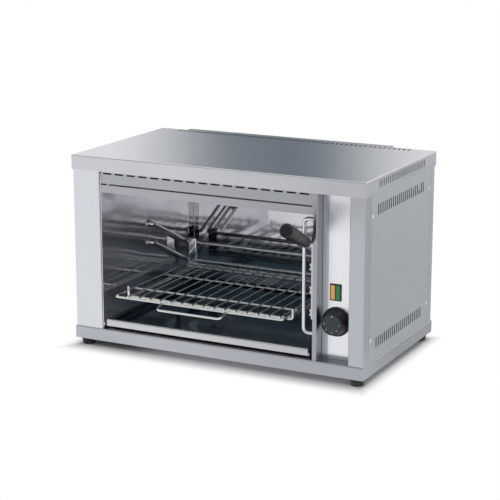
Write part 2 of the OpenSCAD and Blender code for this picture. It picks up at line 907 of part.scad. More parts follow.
module guide_rod() color("lightsteelblue") place() {
  x1 = cavity_x1 + sheet + 1.5;
  translate([0, guide_y, 0])
    rotate([90, 0, 0])
      bent_rod([[x1, guide_z1], [guide_x, guide_z1], [guide_x, guide_z0], [x1, guide_z0]],
        guide_d, guide_bend_r);
}

// Flanged bush; its axis is X and its flange lies on the face at X = 0
module bush() {
  difference() {
    union() {
      bar_x(-bush_flange, 0, 0, 0, rod_d + 8);
      bar_x(0, sheet + bush_len, 0, 0, rod_d + 2 * bush_wall);
    }
    bar_x(-bush_flange - past, sheet + bush_len + past, 0, 0, rod_d + 2 * running);
  }
}

module pivot_bushes() color("lightgray") place() {
  for (z = [pivot_z, pivot_z + pivot_pitch]) {
    translate([cavity_x1, pivot_y, z])
      bush();
    translate([cavity_x0, pivot_y, z])
      mirror([1, 0, 0])
        bush();
  }
}

// Spring clips that keep both ends of a rod in its bushes
module clips(z) {
  from = sheet + bush_len + seat;
  for (side = [0, 1])
    translate([side == 0 ? cavity_x1 : cavity_x0, pivot_y, z])
      mirror([side, 0, 0])
        difference() {
          bar_x(from, from + clip_t, 0, 0, clip_d);
          bar_x(from - past, from + clip_t + past, 0, 0, rod_d + 2 * running);
        }
}

module lower_clips() color("silver") place() clips(pivot_z);

module upper_clips() color("silver") place() clips(pivot_z + pivot_pitch);

// Turns a rod drawn flat, its pivot on the X axis, to its slope at rest
module at_pivot(z) {
  translate([0, pivot_y, z])
    rotate([-arm_angle, 0, 0])
      children();
}

// Left stub, left arm, cross rod, and a right arm that runs on past its pivot as the lever
module lower_arm_rod() color("lightsteelblue") place() {
  lever_end = lever_len - grip_len + grip_bore_l - 0.5;
  at_pivot(pivot_z) {
    bent_rod([
        [cavity_x0 - stub_end, 0], [arm_x0, 0], [arm_x0, arm_len], [arm_x1, arm_len],
        [arm_x1, -lever_end]
      ], rod_d, bend_r);
    bar_x(arm_x1, cavity_x1 + stub_end, 0, 0, rod_d);
  }
}

module upper_arm_rod() color("lightsteelblue") place() {
  at_pivot(pivot_z + pivot_pitch)
    bent_rod([
        [cavity_x0 - stub_end, 0], [arm_x0, 0], [arm_x0, arm_len], [arm_x1, arm_len],
        [arm_x1, 0], [cavity_x1 + stub_end, 0]
      ], rod_d, bend_r);
}

// Tapered round grip with a blind bore for the lever
module lever_grip() color([0.08, 0.08, 0.09]) place() {
  r0 = grip_rear_d / 2;
  r1 = grip_d / 2;
  e = grip_edge_r;
  at_pivot(pivot_z)
    translate([arm_x1, grip_len - lever_len, 0])
      rotate([90, 0, 0])
        rotate_extrude()
          difference() {
            union() {
              polygon([
                [0, 0], [r0 - e, 0], [r0, e], [r1, grip_len - e], [r1 - e, grip_len],
                [0, grip_len]
              ]);
              translate([r0 - e, e])
                circle(e);
              translate([r1 - e, grip_len - e])
                circle(e);
            }
            translate([0, -past])
              square([rod_r + running, grip_bore_l + past]);
          }
}

// Channel that joins the two cross rods at the rear and carries the grid's carrier
module lift_bracket(x0) {
  difference() {
    upright(rear_z - bracket_below, rear_z + pivot_pitch + bracket_above)
      folded([
        [x0, bracket_y + bracket_d], [x0, bracket_y], [x0 + bracket_w, bracket_y],
        [x0 + bracket_w, bracket_y + bracket_d]
      ], bracket_t, bracket_t + 1);
    bar_x(x0 - past, x0 + bracket_w + past, rear_y, rear_z, rod_d + 2 * running);
    bar_x(x0 - past, x0 + bracket_w + past, rear_y, rear_z + pivot_pitch,
      rod_d + 2 * open_pivot_air);
  }
}

module lift_bracket_left() color("whitesmoke") place() lift_bracket(bracket_x0);

module lift_bracket_right() color("whitesmoke") place() {
  lift_bracket(bracket_x1 - bracket_w);
}

// Rod frame under the grid. Its front bar is turned up at both ends, which stops the grid.
module grid_carrier() color("lightsteelblue") place() {
  rear_bar_y = bracket_y - carrier_r - 0.1;
  translate([0, carrier_front, carrier_z])
    rotate([90, 0, 0])
      bent_rod([[carrier_x0, stop_h], [carrier_x0, 0], [carrier_x1, 0], [carrier_x1, stop_h]],
        carrier_d, stop_bend_r);
  bar_x(bracket_x0, bracket_x1, rear_bar_y, carrier_z, carrier_d);
  for (x = [carrier_x0 + carrier_side, carrier_x1 - carrier_side])
    bar_y(carrier_front, rear_bar_y, x, carrier_z, carrier_bar_d);
}

// Grid: a rod frame with cross rods, and wires on top of them
module wire_grid() color("silver") place() {
  r = grid_frame_d / 2;
  xm = (grid_x0 + grid_x1) / 2;
  translate([0, 0, grid_z])
    bent_rod([
        [xm, grid_rear], [grid_x0 + r, grid_rear], [grid_x0 + r, grid_front],
        [grid_x1 - r, grid_front], [grid_x1 - r, grid_rear], [xm, grid_rear]
      ], grid_frame_d, grid_bend_r);
  for (i = [0:wire_n - 1])
    bar_y(grid_front - 2, grid_rear + 1, grid_x0 + wire_edge + i * wire_step, wire_z,
      grid_wire_d);
  for (y = cross_y)
    bar_x(grid_x0 + r, grid_x1 - r, y, grid_z - 0.1, cross_d);
}

// Loop welded to the grid's front rod, to pull the grid by
module pull_loop() color("silver") place() {
  from = grid_frame_d / 2 + 0.1;
  translate([(grid_x0 + grid_x1) / 2 - loop_left, grid_front, grid_z])
    rotate([loop_tilt, 0, 0])
      bent_rod([
          [-loop_w / 2, -from], [-loop_w / 2, -loop_reach], [loop_w / 2, -loop_reach],
          [loop_w / 2, -from]
        ], loop_d, loop_bend_r);
}

// ---- Controls ----

module energy_regulator() color("ivory") place() {
  y0 = panel_y + sheet;
  difference() {
    union() {
      translate([knob_x - regulator_w / 2, y0, knob_z - regulator_h / 2])
        cube([regulator_w, regulator_d, regulator_h]);
      bar_y(panel_y - 5, y0, knob_x, knob_z, 2 * regulator_neck_r);
      for (dx = [-12, -4, 4, 12])
        translate([knob_x + dx - 0.4, y0 + regulator_d, knob_z - 10])
          cube([0.8, 8, 6.3]);
    }
    bar_y(panel_y - 5 - past, y0 + regulator_d - 8, knob_x, knob_z, shaft_d + 2 * running);
  }
}

module regulator_nut() color("goldenrod") place() {
  difference() {
    translate([knob_x, panel_y, knob_z])
      rotate([90, 0, 0])
        cylinder(h = regulator_nut_t, d = regulator_nut_w / cos(30), $fn = 6);
    bar_y(panel_y - regulator_nut_t - past, panel_y + past, knob_x, knob_z,
      2 * regulator_neck_r + 0.1);
  }
}

module regulator_shaft() color("silver") place() {
  bar_y(shaft_front, panel_y + sheet + regulator_d - 8.5, knob_x, knob_z, shaft_d);
}

// Round control knob with a flat skirt, a flank that narrows in a curve and a rimmed face
module knob() color([0.07, 0.07, 0.08]) place() {
  skirt_r = knob_d / 2;
  skirt_t = 3;
  neck_r = skirt_r - 2;
  face_r = knob_face_d / 2;
  run = neck_r - face_r;
  rise = knob_h - skirt_t - 1;
  flank_r = (run * run + rise * rise) / (2 * run);
  translate([knob_x, knob_seat_y, knob_z])
    rotate([90, 0, 0])
      rotate_extrude($fn = 96)
        difference() {
          union() {
            square([skirt_r - 1, skirt_t]);
            translate([0, 1])
              square([skirt_r, skirt_t - 2]);
            for (h = [1, skirt_t - 1])
              translate([skirt_r - 1, h])
                circle(1);
            difference() {
              translate([0, skirt_t - 1])
                square([neck_r, rise + 1]);
              translate([face_r + flank_r, skirt_t + rise])
                circle(flank_r, $fn = 180);
            }
            translate([0, skirt_t + rise - 0.5])
              square([face_r - 1, 1.5]);
            translate([0, skirt_t + rise - 0.5])
              square([face_r, 0.5]);
            translate([face_r - 1, skirt_t + rise])
              circle(1);
          }
          translate([0, -past])
            square([regulator_nut_w / 2 + 3, regulator_nut_t + 3.5 + past]);
          translate([0, -past])
            square([shaft_d / 2 + running, knob_h - 5.5 + past]);
          translate([0, knob_h - 0.6])
            square([face_r - 2.2, past]);
        }
}

// Bezel and body of the twin pilot lamp, with a pocket for each lens
module pilot_bezel() color([0.1, 0.1, 0.1]) place() {
  proud = 2.2;
  difference() {
    union() {
      translate([lamp_x - lamp_w / 2, panel_y - proud, lamp_z - lamp_h / 2])
        cube([lamp_w, proud, lamp_h]);
      translate([lamp_x - lamp_cut_w / 2 + 0.2, panel_y, lamp_z - lamp_cut_h / 2 + 0.2])
        cube([lamp_cut_w - 0.4, lamp_depth, lamp_cut_h - 0.4]);
    }
    for (s = [-1, 1])
      translate([lamp_x + s * (lens_w + lamp_rim) / 2 - lens_w / 2 - 0.1, panel_y - proud - past,
          lamp_z - lens_h / 2 - 0.1])
        cube([lens_w + 0.2, proud + past + 1, lens_h + 0.2]);
  }
}

// Lens of the pilot lamp; s is -1 for the left one and 1 for the right one
module lens(s) {
  translate([lamp_x + s * (lens_w + lamp_rim) / 2 - lens_w / 2, panel_y - 2.8,
      lamp_z - lens_h / 2])
    cube([lens_w, 3.8, lens_h]);
}

module orange_lens() color("orange") place() lens(-1);

module green_lens() color("green") place() lens(1);

module terminal_block() color("ivory") place() {
  w = 46;
  d = 20;
  h = 18;
  y0 = body_y1 - 60;
  difference() {
    translate([gland_x - w / 2, y0, stand_z])
      cube([w, d, h]);
    for (k = [-1, 0, 1]) {
      bar_y(y0 - past, y0 + d + past, gland_x + k * 14, stand_z + 7, 5);
      translate([gland_x + k * 14, y0 + d / 2, stand_z + 7])
        cylinder(h = h, d = 6);
    }
  }
}

// Cable entry in the back panel: neck, inner nut and domed outer cap
module cable_gland() color([0.15, 0.15, 0.16]) place() {
  y = body_y1 - sheet;
  difference() {
    union() {
      bar_y(y - sheet - 8, y, gland_x, gland_z, 2 * gland_neck_r);
      translate([gland_x, y - sheet, gland_z])
        rotate([90, 0, 0])
          cylinder(h = 4, d = 24, $fn = 6);
      translate([gland_x, y + 5, gland_z])
        rotate([90, 0, 0])
          cylinder(h = 5, d = 26, $fn = 6);
      bar_y(y + 5, y + 9, gland_x, gland_z, 20);
      translate([gland_x, y + 9, gland_z])
        rotate([-90, 0, 0])
          cylinder(h = 6, d1 = 20, d2 = 14);
    }
    bar_y(y - sheet - 8 - past, y + 15 + past, gland_x, gland_z, 2 * gland_bore_r);
  }
}

// ---- Fastenings and feet ----

module panel_screws() color("silver") place() {
  for (side = [0, 1])
    mirror([side, 0, 0])
      for (p = side_screws) {
        bar_x(body_x, body_x + 1.2, p.x, p.y, screw_head_d);
        bar_x(body_x - 7, body_x, p.x, p.y, screw_d);
      }
}

module casing_screws() color("silver") place() {
  for (p = casing_screw_at) {
    bar_y(body_y1, body_y1 + 1.6, p.x, p.y, screw_head_d);
    bar_y(body_y1 - 8, body_y1, p.x, p.y, screw_d);
  }
}

// Rubber foot with a sunk hole for its screw
module foot(i) {
  e = 1.5;
  r1 = foot_d / 2;
  r0 = r1 - 2;
  translate([feet[i].x, feet[i].y, 0])
    rotate_extrude()
      difference() {
        union() {
          polygon([[0, 0], [r0 - e, 0], [r0, e], [r1, foot_h], [0, foot_h]]);
          translate([r0 - e, e])
            circle(e);
        }
        translate([0, -past])
          square([foot_screw_d / 2 + screw_slack, foot_h + 2 * past]);
        translate([0, -past])
          square([5.5, foot_h / 2 + past]);
      }
}

module foot_front_left() color([0.06, 0.06, 0.06]) place() foot(0);

module foot_front_right() color([0.06, 0.06, 0.06]) place() foot(1);

module foot_rear_left() color([0.06, 0.06, 0.06]) place() foot(2);

module foot_rear_right() color([0.06, 0.06, 0.06]) place() foot(3);

module foot_screws() color("silver") place() {
  for (p = feet)
    translate([p.x, p.y, foot_h / 2]) {
      translate([0, 0, -3.5])
        cylinder(h = 3.5, d = 9.5);
      cylinder(h = foot_h / 2 + sheet + 5, d = foot_screw_d);
      translate([0, 0, foot_h / 2 + sheet])
        cylinder(h = 4, d = 9.2, $fn = 6);
    }
}

top_cover();
base_pan();
left_column();
right_column();
rear_post_left();
rear_post_right();
left_side_panel();
right_side_panel();
back_panel();
rear_casing();
front_frame();
control_panel();
cavity_left_wall();
cavity_right_wall();
cavity_back_wall();
reflector();
heat_shield();
heater_front();
heater_middle();
heater_rear();
heater_terminals();
heater_hanger_left();
heater_hanger_right();
tray_runner_left();
tray_runner_right();
crumb_tray();
notch_rack();
guide_rod();
pivot_bushes();
lower_arm_rod();
lower_clips();
lever_grip();
upper_arm_rod();
upper_clips();
lift_bracket_left();
lift_bracket_right();
grid_carrier();
wire_grid();
pull_loop();
energy_regulator();
regulator_nut();
regulator_shaft();
knob();
pilot_bezel();
orange_lens();
green_lens();
terminal_block();
cable_gland();
panel_screws();
casing_screws();
foot_front_left();
foot_front_right();
foot_rear_left();
foot_rear_right();
foot_screws();
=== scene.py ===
"""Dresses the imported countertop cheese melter: finishes, small details, studio and camera."""

import logging
import math
from abc import ABC, abstractmethod
from dataclasses import dataclass
from enum import Enum
from typing import ClassVar, Iterable, Sequence

import bmesh
import bpy
from mathutils import Matrix, Quaternion, Vector

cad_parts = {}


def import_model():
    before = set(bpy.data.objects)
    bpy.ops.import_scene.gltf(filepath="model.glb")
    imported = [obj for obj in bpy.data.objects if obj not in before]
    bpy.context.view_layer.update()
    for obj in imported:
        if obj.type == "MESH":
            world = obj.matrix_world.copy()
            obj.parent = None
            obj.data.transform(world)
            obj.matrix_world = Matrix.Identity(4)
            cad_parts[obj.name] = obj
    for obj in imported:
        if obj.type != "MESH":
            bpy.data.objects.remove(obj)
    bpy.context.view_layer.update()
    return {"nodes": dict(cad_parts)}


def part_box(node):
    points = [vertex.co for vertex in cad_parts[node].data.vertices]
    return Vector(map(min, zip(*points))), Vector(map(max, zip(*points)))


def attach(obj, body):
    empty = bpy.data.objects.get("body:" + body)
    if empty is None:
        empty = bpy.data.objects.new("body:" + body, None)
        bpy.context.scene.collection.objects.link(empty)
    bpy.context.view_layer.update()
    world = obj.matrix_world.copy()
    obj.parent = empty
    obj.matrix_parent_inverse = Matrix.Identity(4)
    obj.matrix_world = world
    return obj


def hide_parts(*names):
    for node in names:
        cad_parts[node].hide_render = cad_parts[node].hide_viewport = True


LOG = logging.getLogger("melter")
WHITE = (1.0, 1.0, 1.0)

# One millimetre in metres, the scene's unit.
MM = 0.001

# Turns what faces up so that it faces the front.
FACING_FRONT = Matrix.Rotation(math.pi / 2, 4, "X")

Pair = tuple[float, float]
Triple = tuple[float, float, float]
Colour = Triple
Socket = bpy.types.NodeSocket
Dressing = dict[str, tuple[str, ...]]


def scaled(values: Sequence[float], factor: float) -> tuple[float, ...]:
    """Returns each value times a factor."""
    return tuple(value * factor for value in values)


class Grain(Enum):
    """The way a sheet was brushed: the scale of its lines on X, Y and Z, and the axis they follow."""

    ALONG_X = ((4.0, 700.0, 700.0), "X")
    ALONG_Y = ((700.0, 4.0, 700.0), "Y")
    ALONG_Z = ((700.0, 700.0, 4.0), "Z")
    ROUND = ((240.0, 240.0, 240.0), "Z")


class MixKind(Enum):
    """A Mix node for each type of socket: its data type, its two inputs' numbers and its output's."""

    VALUE = ("FLOAT", 2, 3, 0)
    VECTOR = ("VECTOR", 4, 5, 1)
    RGBA = ("RGBA", 6, 7, 2)


class NodeTree:
    """Adds and links the nodes of one material or world."""

    def __init__(self, name: str, world: bool = False) -> None:
        """Starts a material or a world with an empty tree and its output.

        Args:
            name: Its name.
            world: Whether it is a world.
        """
        self.made = (bpy.data.worlds if world else bpy.data.materials).new(name)
        self.made.use_nodes = True
        self.tree = self.made.node_tree
        self.tree.nodes.clear()
        self.output = self.add("ShaderNodeOutputWorld" if world else "ShaderNodeOutputMaterial")

    def add(self, kind: str, inputs: dict[str | int, object] | None = None,
            **settings: object) -> bpy.types.Node:
        """Adds one node.

        Args:
            kind: The node's type name.
            inputs: What its inputs get, by their name or number.
            settings: Attributes to set on it.

        Returns:
            The new node.
        """
        node = self.tree.nodes.new(kind)
        for key, value in settings.items():
            setattr(node, key, value)
        for key, value in (inputs or {}).items():
            self.feed(node.inputs[key], value)
        return node

    def feed(self, target: Socket, value: object) -> None:
        """Gives an input what it works with.

        Args:
            target: The input.
            value: A socket to link, or a number, a vector or a colour to set.
        """
        if isinstance(value, Socket):
            self.tree.links.new(value, target)
        else:
            target.default_value = (*value, 1) if target.type == "RGBA" else value

    def place(self, scale: Sequence[float] = (1, 1, 1), turn: Sequence[float] = (0, 0, 0)) -> Socket:
        """Gives the object's own coordinates, scaled and turned.

        Args:
            scale: The scale on the three axes.
            turn: The turn about the three axes, in radians.

        Returns:
            The socket that carries the coordinates.
        """
        own = self.add("ShaderNodeTexCoord").outputs["Object"]
        mapping = self.add("ShaderNodeMapping", {"Vector": own, "Scale": scale, "Rotation": turn})
        return mapping.outputs["Vector"]

    def apart(self, scale: Sequence[float] = (1, 1, 1)) -> dict[str, Socket]:
        """Gives the object's own coordinates one by one.

        Args:
            scale: The scale on the three axes.

        Returns:
            The sockets, by the axis's letter.
        """
        node = self.add("ShaderNodeSeparateXYZ", {"Vector": self.place(scale)})
        return {axis: node.outputs[axis] for axis in "XYZ"}

    def noise(self, scale: Sequence[float], detail: float = 3.0, rough: float = 0.55,
              turn: Sequence[float] = (0, 0, 0)) -> Socket:
        """Adds a noise on the object's coordinates.

        Args:
            scale: The noise's scale on the three axes.
            detail: Its octaves.
            rough: Its roughness.
            turn: The turn of the coordinates, in radians.

        Returns:
            The socket of its value.
        """
        inputs = {"Vector": self.place(scale, turn), "Scale": 1.0, "Detail": detail, "Roughness": rough}
        return self.add("ShaderNodeTexNoise", inputs).outputs["Fac"]

    def spread(self, value: Socket, low: float = 0.0, high: float = 1.0, start: float = 0.3,
               end: float = 0.7, **settings: object) -> Socket:
        """Maps a value to a range of numbers.

        Args:
            value: The socket to map.
            low: The result at start.
            high: The result at end.
            start: The value that gives low.
            end: The value that gives high.
            settings: Attributes to set on the node.

        Returns:
            The mapped socket.
        """
        inputs = {"Value": value, "From Min": start, "From Max": end, "To Min": low, "To Max": high}
        return self.add("ShaderNodeMapRange", inputs, **settings).outputs["Result"]

    def smooth(self, value: Socket, start: float, end: float) -> Socket:
        """Rises softly from 0 to 1.

        Args:
            value: The socket that drives it.
            start: The value that gives 0.
            end: The value that gives 1, above or below start.

        Returns:
            The socket of the rise.
        """
        rise = (0.0, 1.0, start, end) if start < end else (1.0, 0.0, end, start)
        return self.spread(value, *rise, interpolation_type="SMOOTHSTEP")

    def along(self, axis: str, start: float, end: float, low: float = 0.0, high: float = 1.0) -> Socket:
        """Rises evenly along an axis of the object.

        Args:
            axis: The axis's letter.
            start: The place that gives low.
            end: The place that gives high.
            low: The result at start.
            high: The result at end.

        Returns:
            The socket of the rise.
        """
        return self.spread(self.apart()[axis], low, high, start, end)

    def maths(self, operation: str, *values: Socket) -> Socket:
        """Returns the socket of a Math node that works on the sockets given."""
        return self.add("ShaderNodeMath", dict(enumerate(values)), operation=operation).outputs[0]

    def mix(self, kind: MixKind, factor: Socket, first: object, second: object) -> Socket:
        """Mixes two sockets, numbers, vectors or colours.

        Args:
            kind: What is mixed.
            factor: The socket that drives the mix.
            first: What shows at 0.
            second: What shows at 1.

        Returns:
            The socket of the mix.
        """
        data_type, low, high, result = kind.value
        inputs = {0: factor, low: first, high: second}
        return self.add("ShaderNodeMix", inputs, data_type=data_type).outputs[result]

    def overlay(self, shader: bpy.types.Node, name: str, where: Socket, value: object) -> None:
        """Puts another value over what a shader's input gets.

        Args:
            shader: The shader.
            name: The name of its input, which is linked already.
            where: The socket that is 1 where the new value counts.
            value: The new value.
        """
        target = shader.inputs[name]
        self.feed(target, self.mix(MixKind[target.type], where, target.links[0].from_socket, value))

    def bump(self, height: Socket, depth: float, strength: float = 1.0, invert: bool = False) -> Socket:
        """Adds a bump.

        Args:
            height: The socket of the height.
            depth: The height's size in metres.
            strength: The bump's strength.
            invert: Whether high values lie deeper.

        Returns:
            The socket of the normal.
        """
        inputs = {"Height": height, "Distance": depth, "Strength": strength}
        return self.add("ShaderNodeBump", inputs, invert=invert).outputs["Normal"]

    def seen_directly(self) -> Socket:
        """Returns a socket that is 1 for camera, glossy and transmission rays."""
        path = self.add("ShaderNodeLightPath")
        seen = path.outputs["Is Camera Ray"]
        for ray in ("Is Glossy Ray", "Is Transmission Ray"):
            seen = self.maths("MAXIMUM", seen, path.outputs[ray])
        return seen

    def either(self, factor: Socket, first: bpy.types.Node, second: bpy.types.Node) -> bpy.types.Node:
        """Returns a mix of two shaders, with the first at 0 and the second at 1."""
        return self.add("ShaderNodeMixShader", {0: factor, 1: first.outputs[0], 2: second.outputs[0]})

    def finish(self, shader: bpy.types.Node) -> bpy.types.Material | bpy.types.World:
        """Joins the last shader to the output and returns the finished material or world."""
        self.feed(self.output.inputs["Surface"], shader.outputs[0])
        return self.made


@dataclass(frozen=True)
class Finish(ABC):
    """What a piece is made of. Depths and places are in metres."""

    name: str
    colour: Colour
    rough: float

    def make(self) -> bpy.types.Material:
        """Returns the finished material."""
        tree = NodeTree(self.name)
        return tree.finish(self.shade(tree))

    @abstractmethod
    def shade(self, tree: NodeTree) -> bpy.types.Node:
        """Builds the finish in a tree.

        Args:
            tree: The tree that gets the nodes.

        Returns:
            The shader.
        """


@dataclass(frozen=True)
class BrushedSheet(Finish):
    """Brushed or bright rolled sheet metal, whose gloss spreads across the brushing."""

    grain: Grain
    rough_spread: float = 0.04
    tint: float = 0.97
    stretch: float = 0.75
    milk: float = 0.0
    depth: float = 4e-7
    cloud_scale: float = 9.0
    cloud_rough: Pair = (-0.015, 0.02)

    def shade(self, tree: NodeTree) -> bpy.types.Node:
        """Builds the brushed metal in a tree.

        Args:
            tree: The tree that gets the nodes.

        Returns:
            The shader.
        """
        scale, axis = self.grain.value
        lines = tree.noise(scale, detail=4.0, rough=0.6)
        clouds = tree.noise((self.cloud_scale,) * 3, rough=0.5)
        dark = scaled(self.colour, self.tint)
        low = self.rough - self.rough_spread / 2
        line_rough = tree.spread(lines, low, low + self.rough_spread)
        shader = tree.add("ShaderNodeBsdfPrincipled", {
            "Base Color": tree.mix(MixKind.RGBA, tree.spread(lines), dark, self.colour),
            "Metallic": 1.0 - self.milk,
            "Roughness": tree.maths("ADD", line_rough, tree.spread(clouds, *self.cloud_rough)),
            "Anisotropic": self.stretch,
            "Normal": tree.bump(lines, self.depth),
        })
        if self.stretch:
            tangent = tree.add("ShaderNodeTangent", direction_type="RADIAL", axis=axis)
            tree.feed(shader.inputs["Tangent"], tangent.outputs["Tangent"])
        return shader


@dataclass(frozen=True, kw_only=True)
class ShadedPartSheet(BrushedSheet):
    """Brushed sheet with painted shade past a line across one of its axes."""

    axis: str
    line: Pair
    shade_colour: Colour

    def shade(self, tree: NodeTree) -> bpy.types.Node:
        """Builds the brushed metal with its part of painted shade in a tree.

        Args:
            tree: The tree that gets the nodes.

        Returns:
            The shader.
        """
        shader = super().shade(tree)
        # Painted shade: past the line the colour turns darker to stand in for shade, not for another finish.
        tree.overlay(shader, "Base Color", tree.along(self.axis, *self.line), self.shade_colour)
        return shader


@dataclass(frozen=True)
class SmearedSheet(Finish):
    """Bright rolled sheet round the heated space, wavy and smeared from wiping and heat."""

    stain: Colour
    smear: Triple
    wave: float = 0.0016
    turn: Triple = (0.0, 0.0, 0.0)
    haze: float = 0.0
    stained: Pair = (0.4, 0.75)
    rough_part: Pair = (0.8, 1.9)
    wave_part: float = 0.8
    wave_strength: float = 0.5

    def shade(self, tree: NodeTree) -> bpy.types.Node:
        """Builds the smeared metal in a tree.

        Args:
            tree: The tree that gets the nodes.

        Returns:
            The shader.
        """
        smears = tree.noise(self.smear, detail=5.0, rough=0.6, turn=self.turn)
        waves = tree.noise(scaled(self.smear, self.wave_part), detail=2.0, rough=0.4, turn=self.turn)
        stains = tree.spread(smears, 0.0, 1.0, *self.stained)
        return tree.add("ShaderNodeBsdfPrincipled", {
            "Base Color": tree.mix(MixKind.RGBA, stains, self.colour, self.stain),
            "Metallic": 1.0 - self.haze,
            "Roughness": tree.spread(smears, *scaled(self.rough_part, self.rough)),
            "Normal": tree.bump(waves, self.wave, self.wave_strength),
        })


@dataclass(frozen=True, kw_only=True)
class TraySheet(SmearedSheet):
    """Sheet of the crumb tray, darkened with painted shade behind its lip, whose lip at the front stays
    bright and bulges a little.
    """

    lip_y: float
    lip_z: Pair
    lip_colour: Colour = (0.57, 0.58, 0.59)
    lip_rough: float = 0.2
    lip_bulge: float = 0.0003

    def shade(self, tree: NodeTree) -> bpy.types.Node:
        """Builds the metal darkened with painted shade, with its bright lip, in a tree.

        Args:
            tree: The tree that gets the nodes.

        Returns:
            The shader.
        """
        shader = super().shade(tree)
        lip = tree.along("Y", self.lip_y + MM, self.lip_y)
        across = tree.along("Z", *self.lip_z, -1.0, 1.0)
        bulge = tree.bump(tree.maths("MULTIPLY", across, across), self.lip_bulge, invert=True)
        # Painted shade: behind the lip the sheet is dark, standing in for the shade inside the heated space;
        # the lip stays bright.
        tree.overlay(shader, "Base Color", lip, self.lip_colour)
        tree.overlay(shader, "Roughness", lip, self.lip_rough)
        tree.overlay(shader, "Normal", lip, bulge)
        return shader


@dataclass(frozen=True)
class PlainMetal(Finish):
    """Chromed, plated, cast or turned metal."""

    mottle: float = 0.05
    scale: float = 90.0
    worn: Colour | None = None
    rough_part: Pair = (0.75, 1.3)
    depth: float = 2e-5

    def shade(self, tree: NodeTree) -> bpy.types.Node:
        """Builds the mottled metal in a tree.

        Args:
            tree: The tree that gets the nodes.

        Returns:
            The shader.
        """
        spots = tree.noise((self.scale,) * 3, detail=4.0)
        second = self.worn or scaled(self.colour, 1 - self.mottle)
        return tree.add("ShaderNodeBsdfPrincipled", {
            "Base Color": tree.mix(MixKind.RGBA, tree.spread(spots), self.colour, second),
            "Metallic": 1.0,
            "Roughness": tree.spread(spots, *scaled(self.rough_part, self.rough)),
            "Normal": tree.bump(spots, self.depth),
        })


@dataclass(frozen=True)
class MouldedPlastic(Finish):
    """Moulded plastic, rubber, paint or glazed ceramic."""

    fleck: float = 0.15
    scale: float = 700.0
    depth: float = 4e-5
    coat: float = 0.0
    coat_rough: float = 0.12
    glow: float = 0.0
    specular: float = 0.5
    wear_scale: float = 22.0
    rough_part: Pair = (0.85, 1.2)

    def shade(self, tree: NodeTree) -> bpy.types.Node:
        """Builds the flecked plastic in a tree.

        Args:
            tree: The tree that gets the nodes.

        Returns:
            The shader.
        """
        grain = tree.noise((self.scale,) * 3)
        wear = tree.noise((self.wear_scale,) * 3, detail=4.0)
        light = tuple(min(1.0, part + self.fleck * (part + 0.01)) for part in self.colour)
        return tree.add("ShaderNodeBsdfPrincipled", {
            "Base Color": tree.mix(MixKind.RGBA, tree.spread(grain), self.colour, light),
            "Roughness": tree.spread(wear, *scaled(self.rough_part, self.rough)),
            "Normal": tree.bump(grain, self.depth),
            "Coat Weight": self.coat,
            "Coat Roughness": self.coat_rough,
            "Specular IOR Level": self.specular,
            "Emission Color": self.colour,
            "Emission Strength": self.glow,
        })


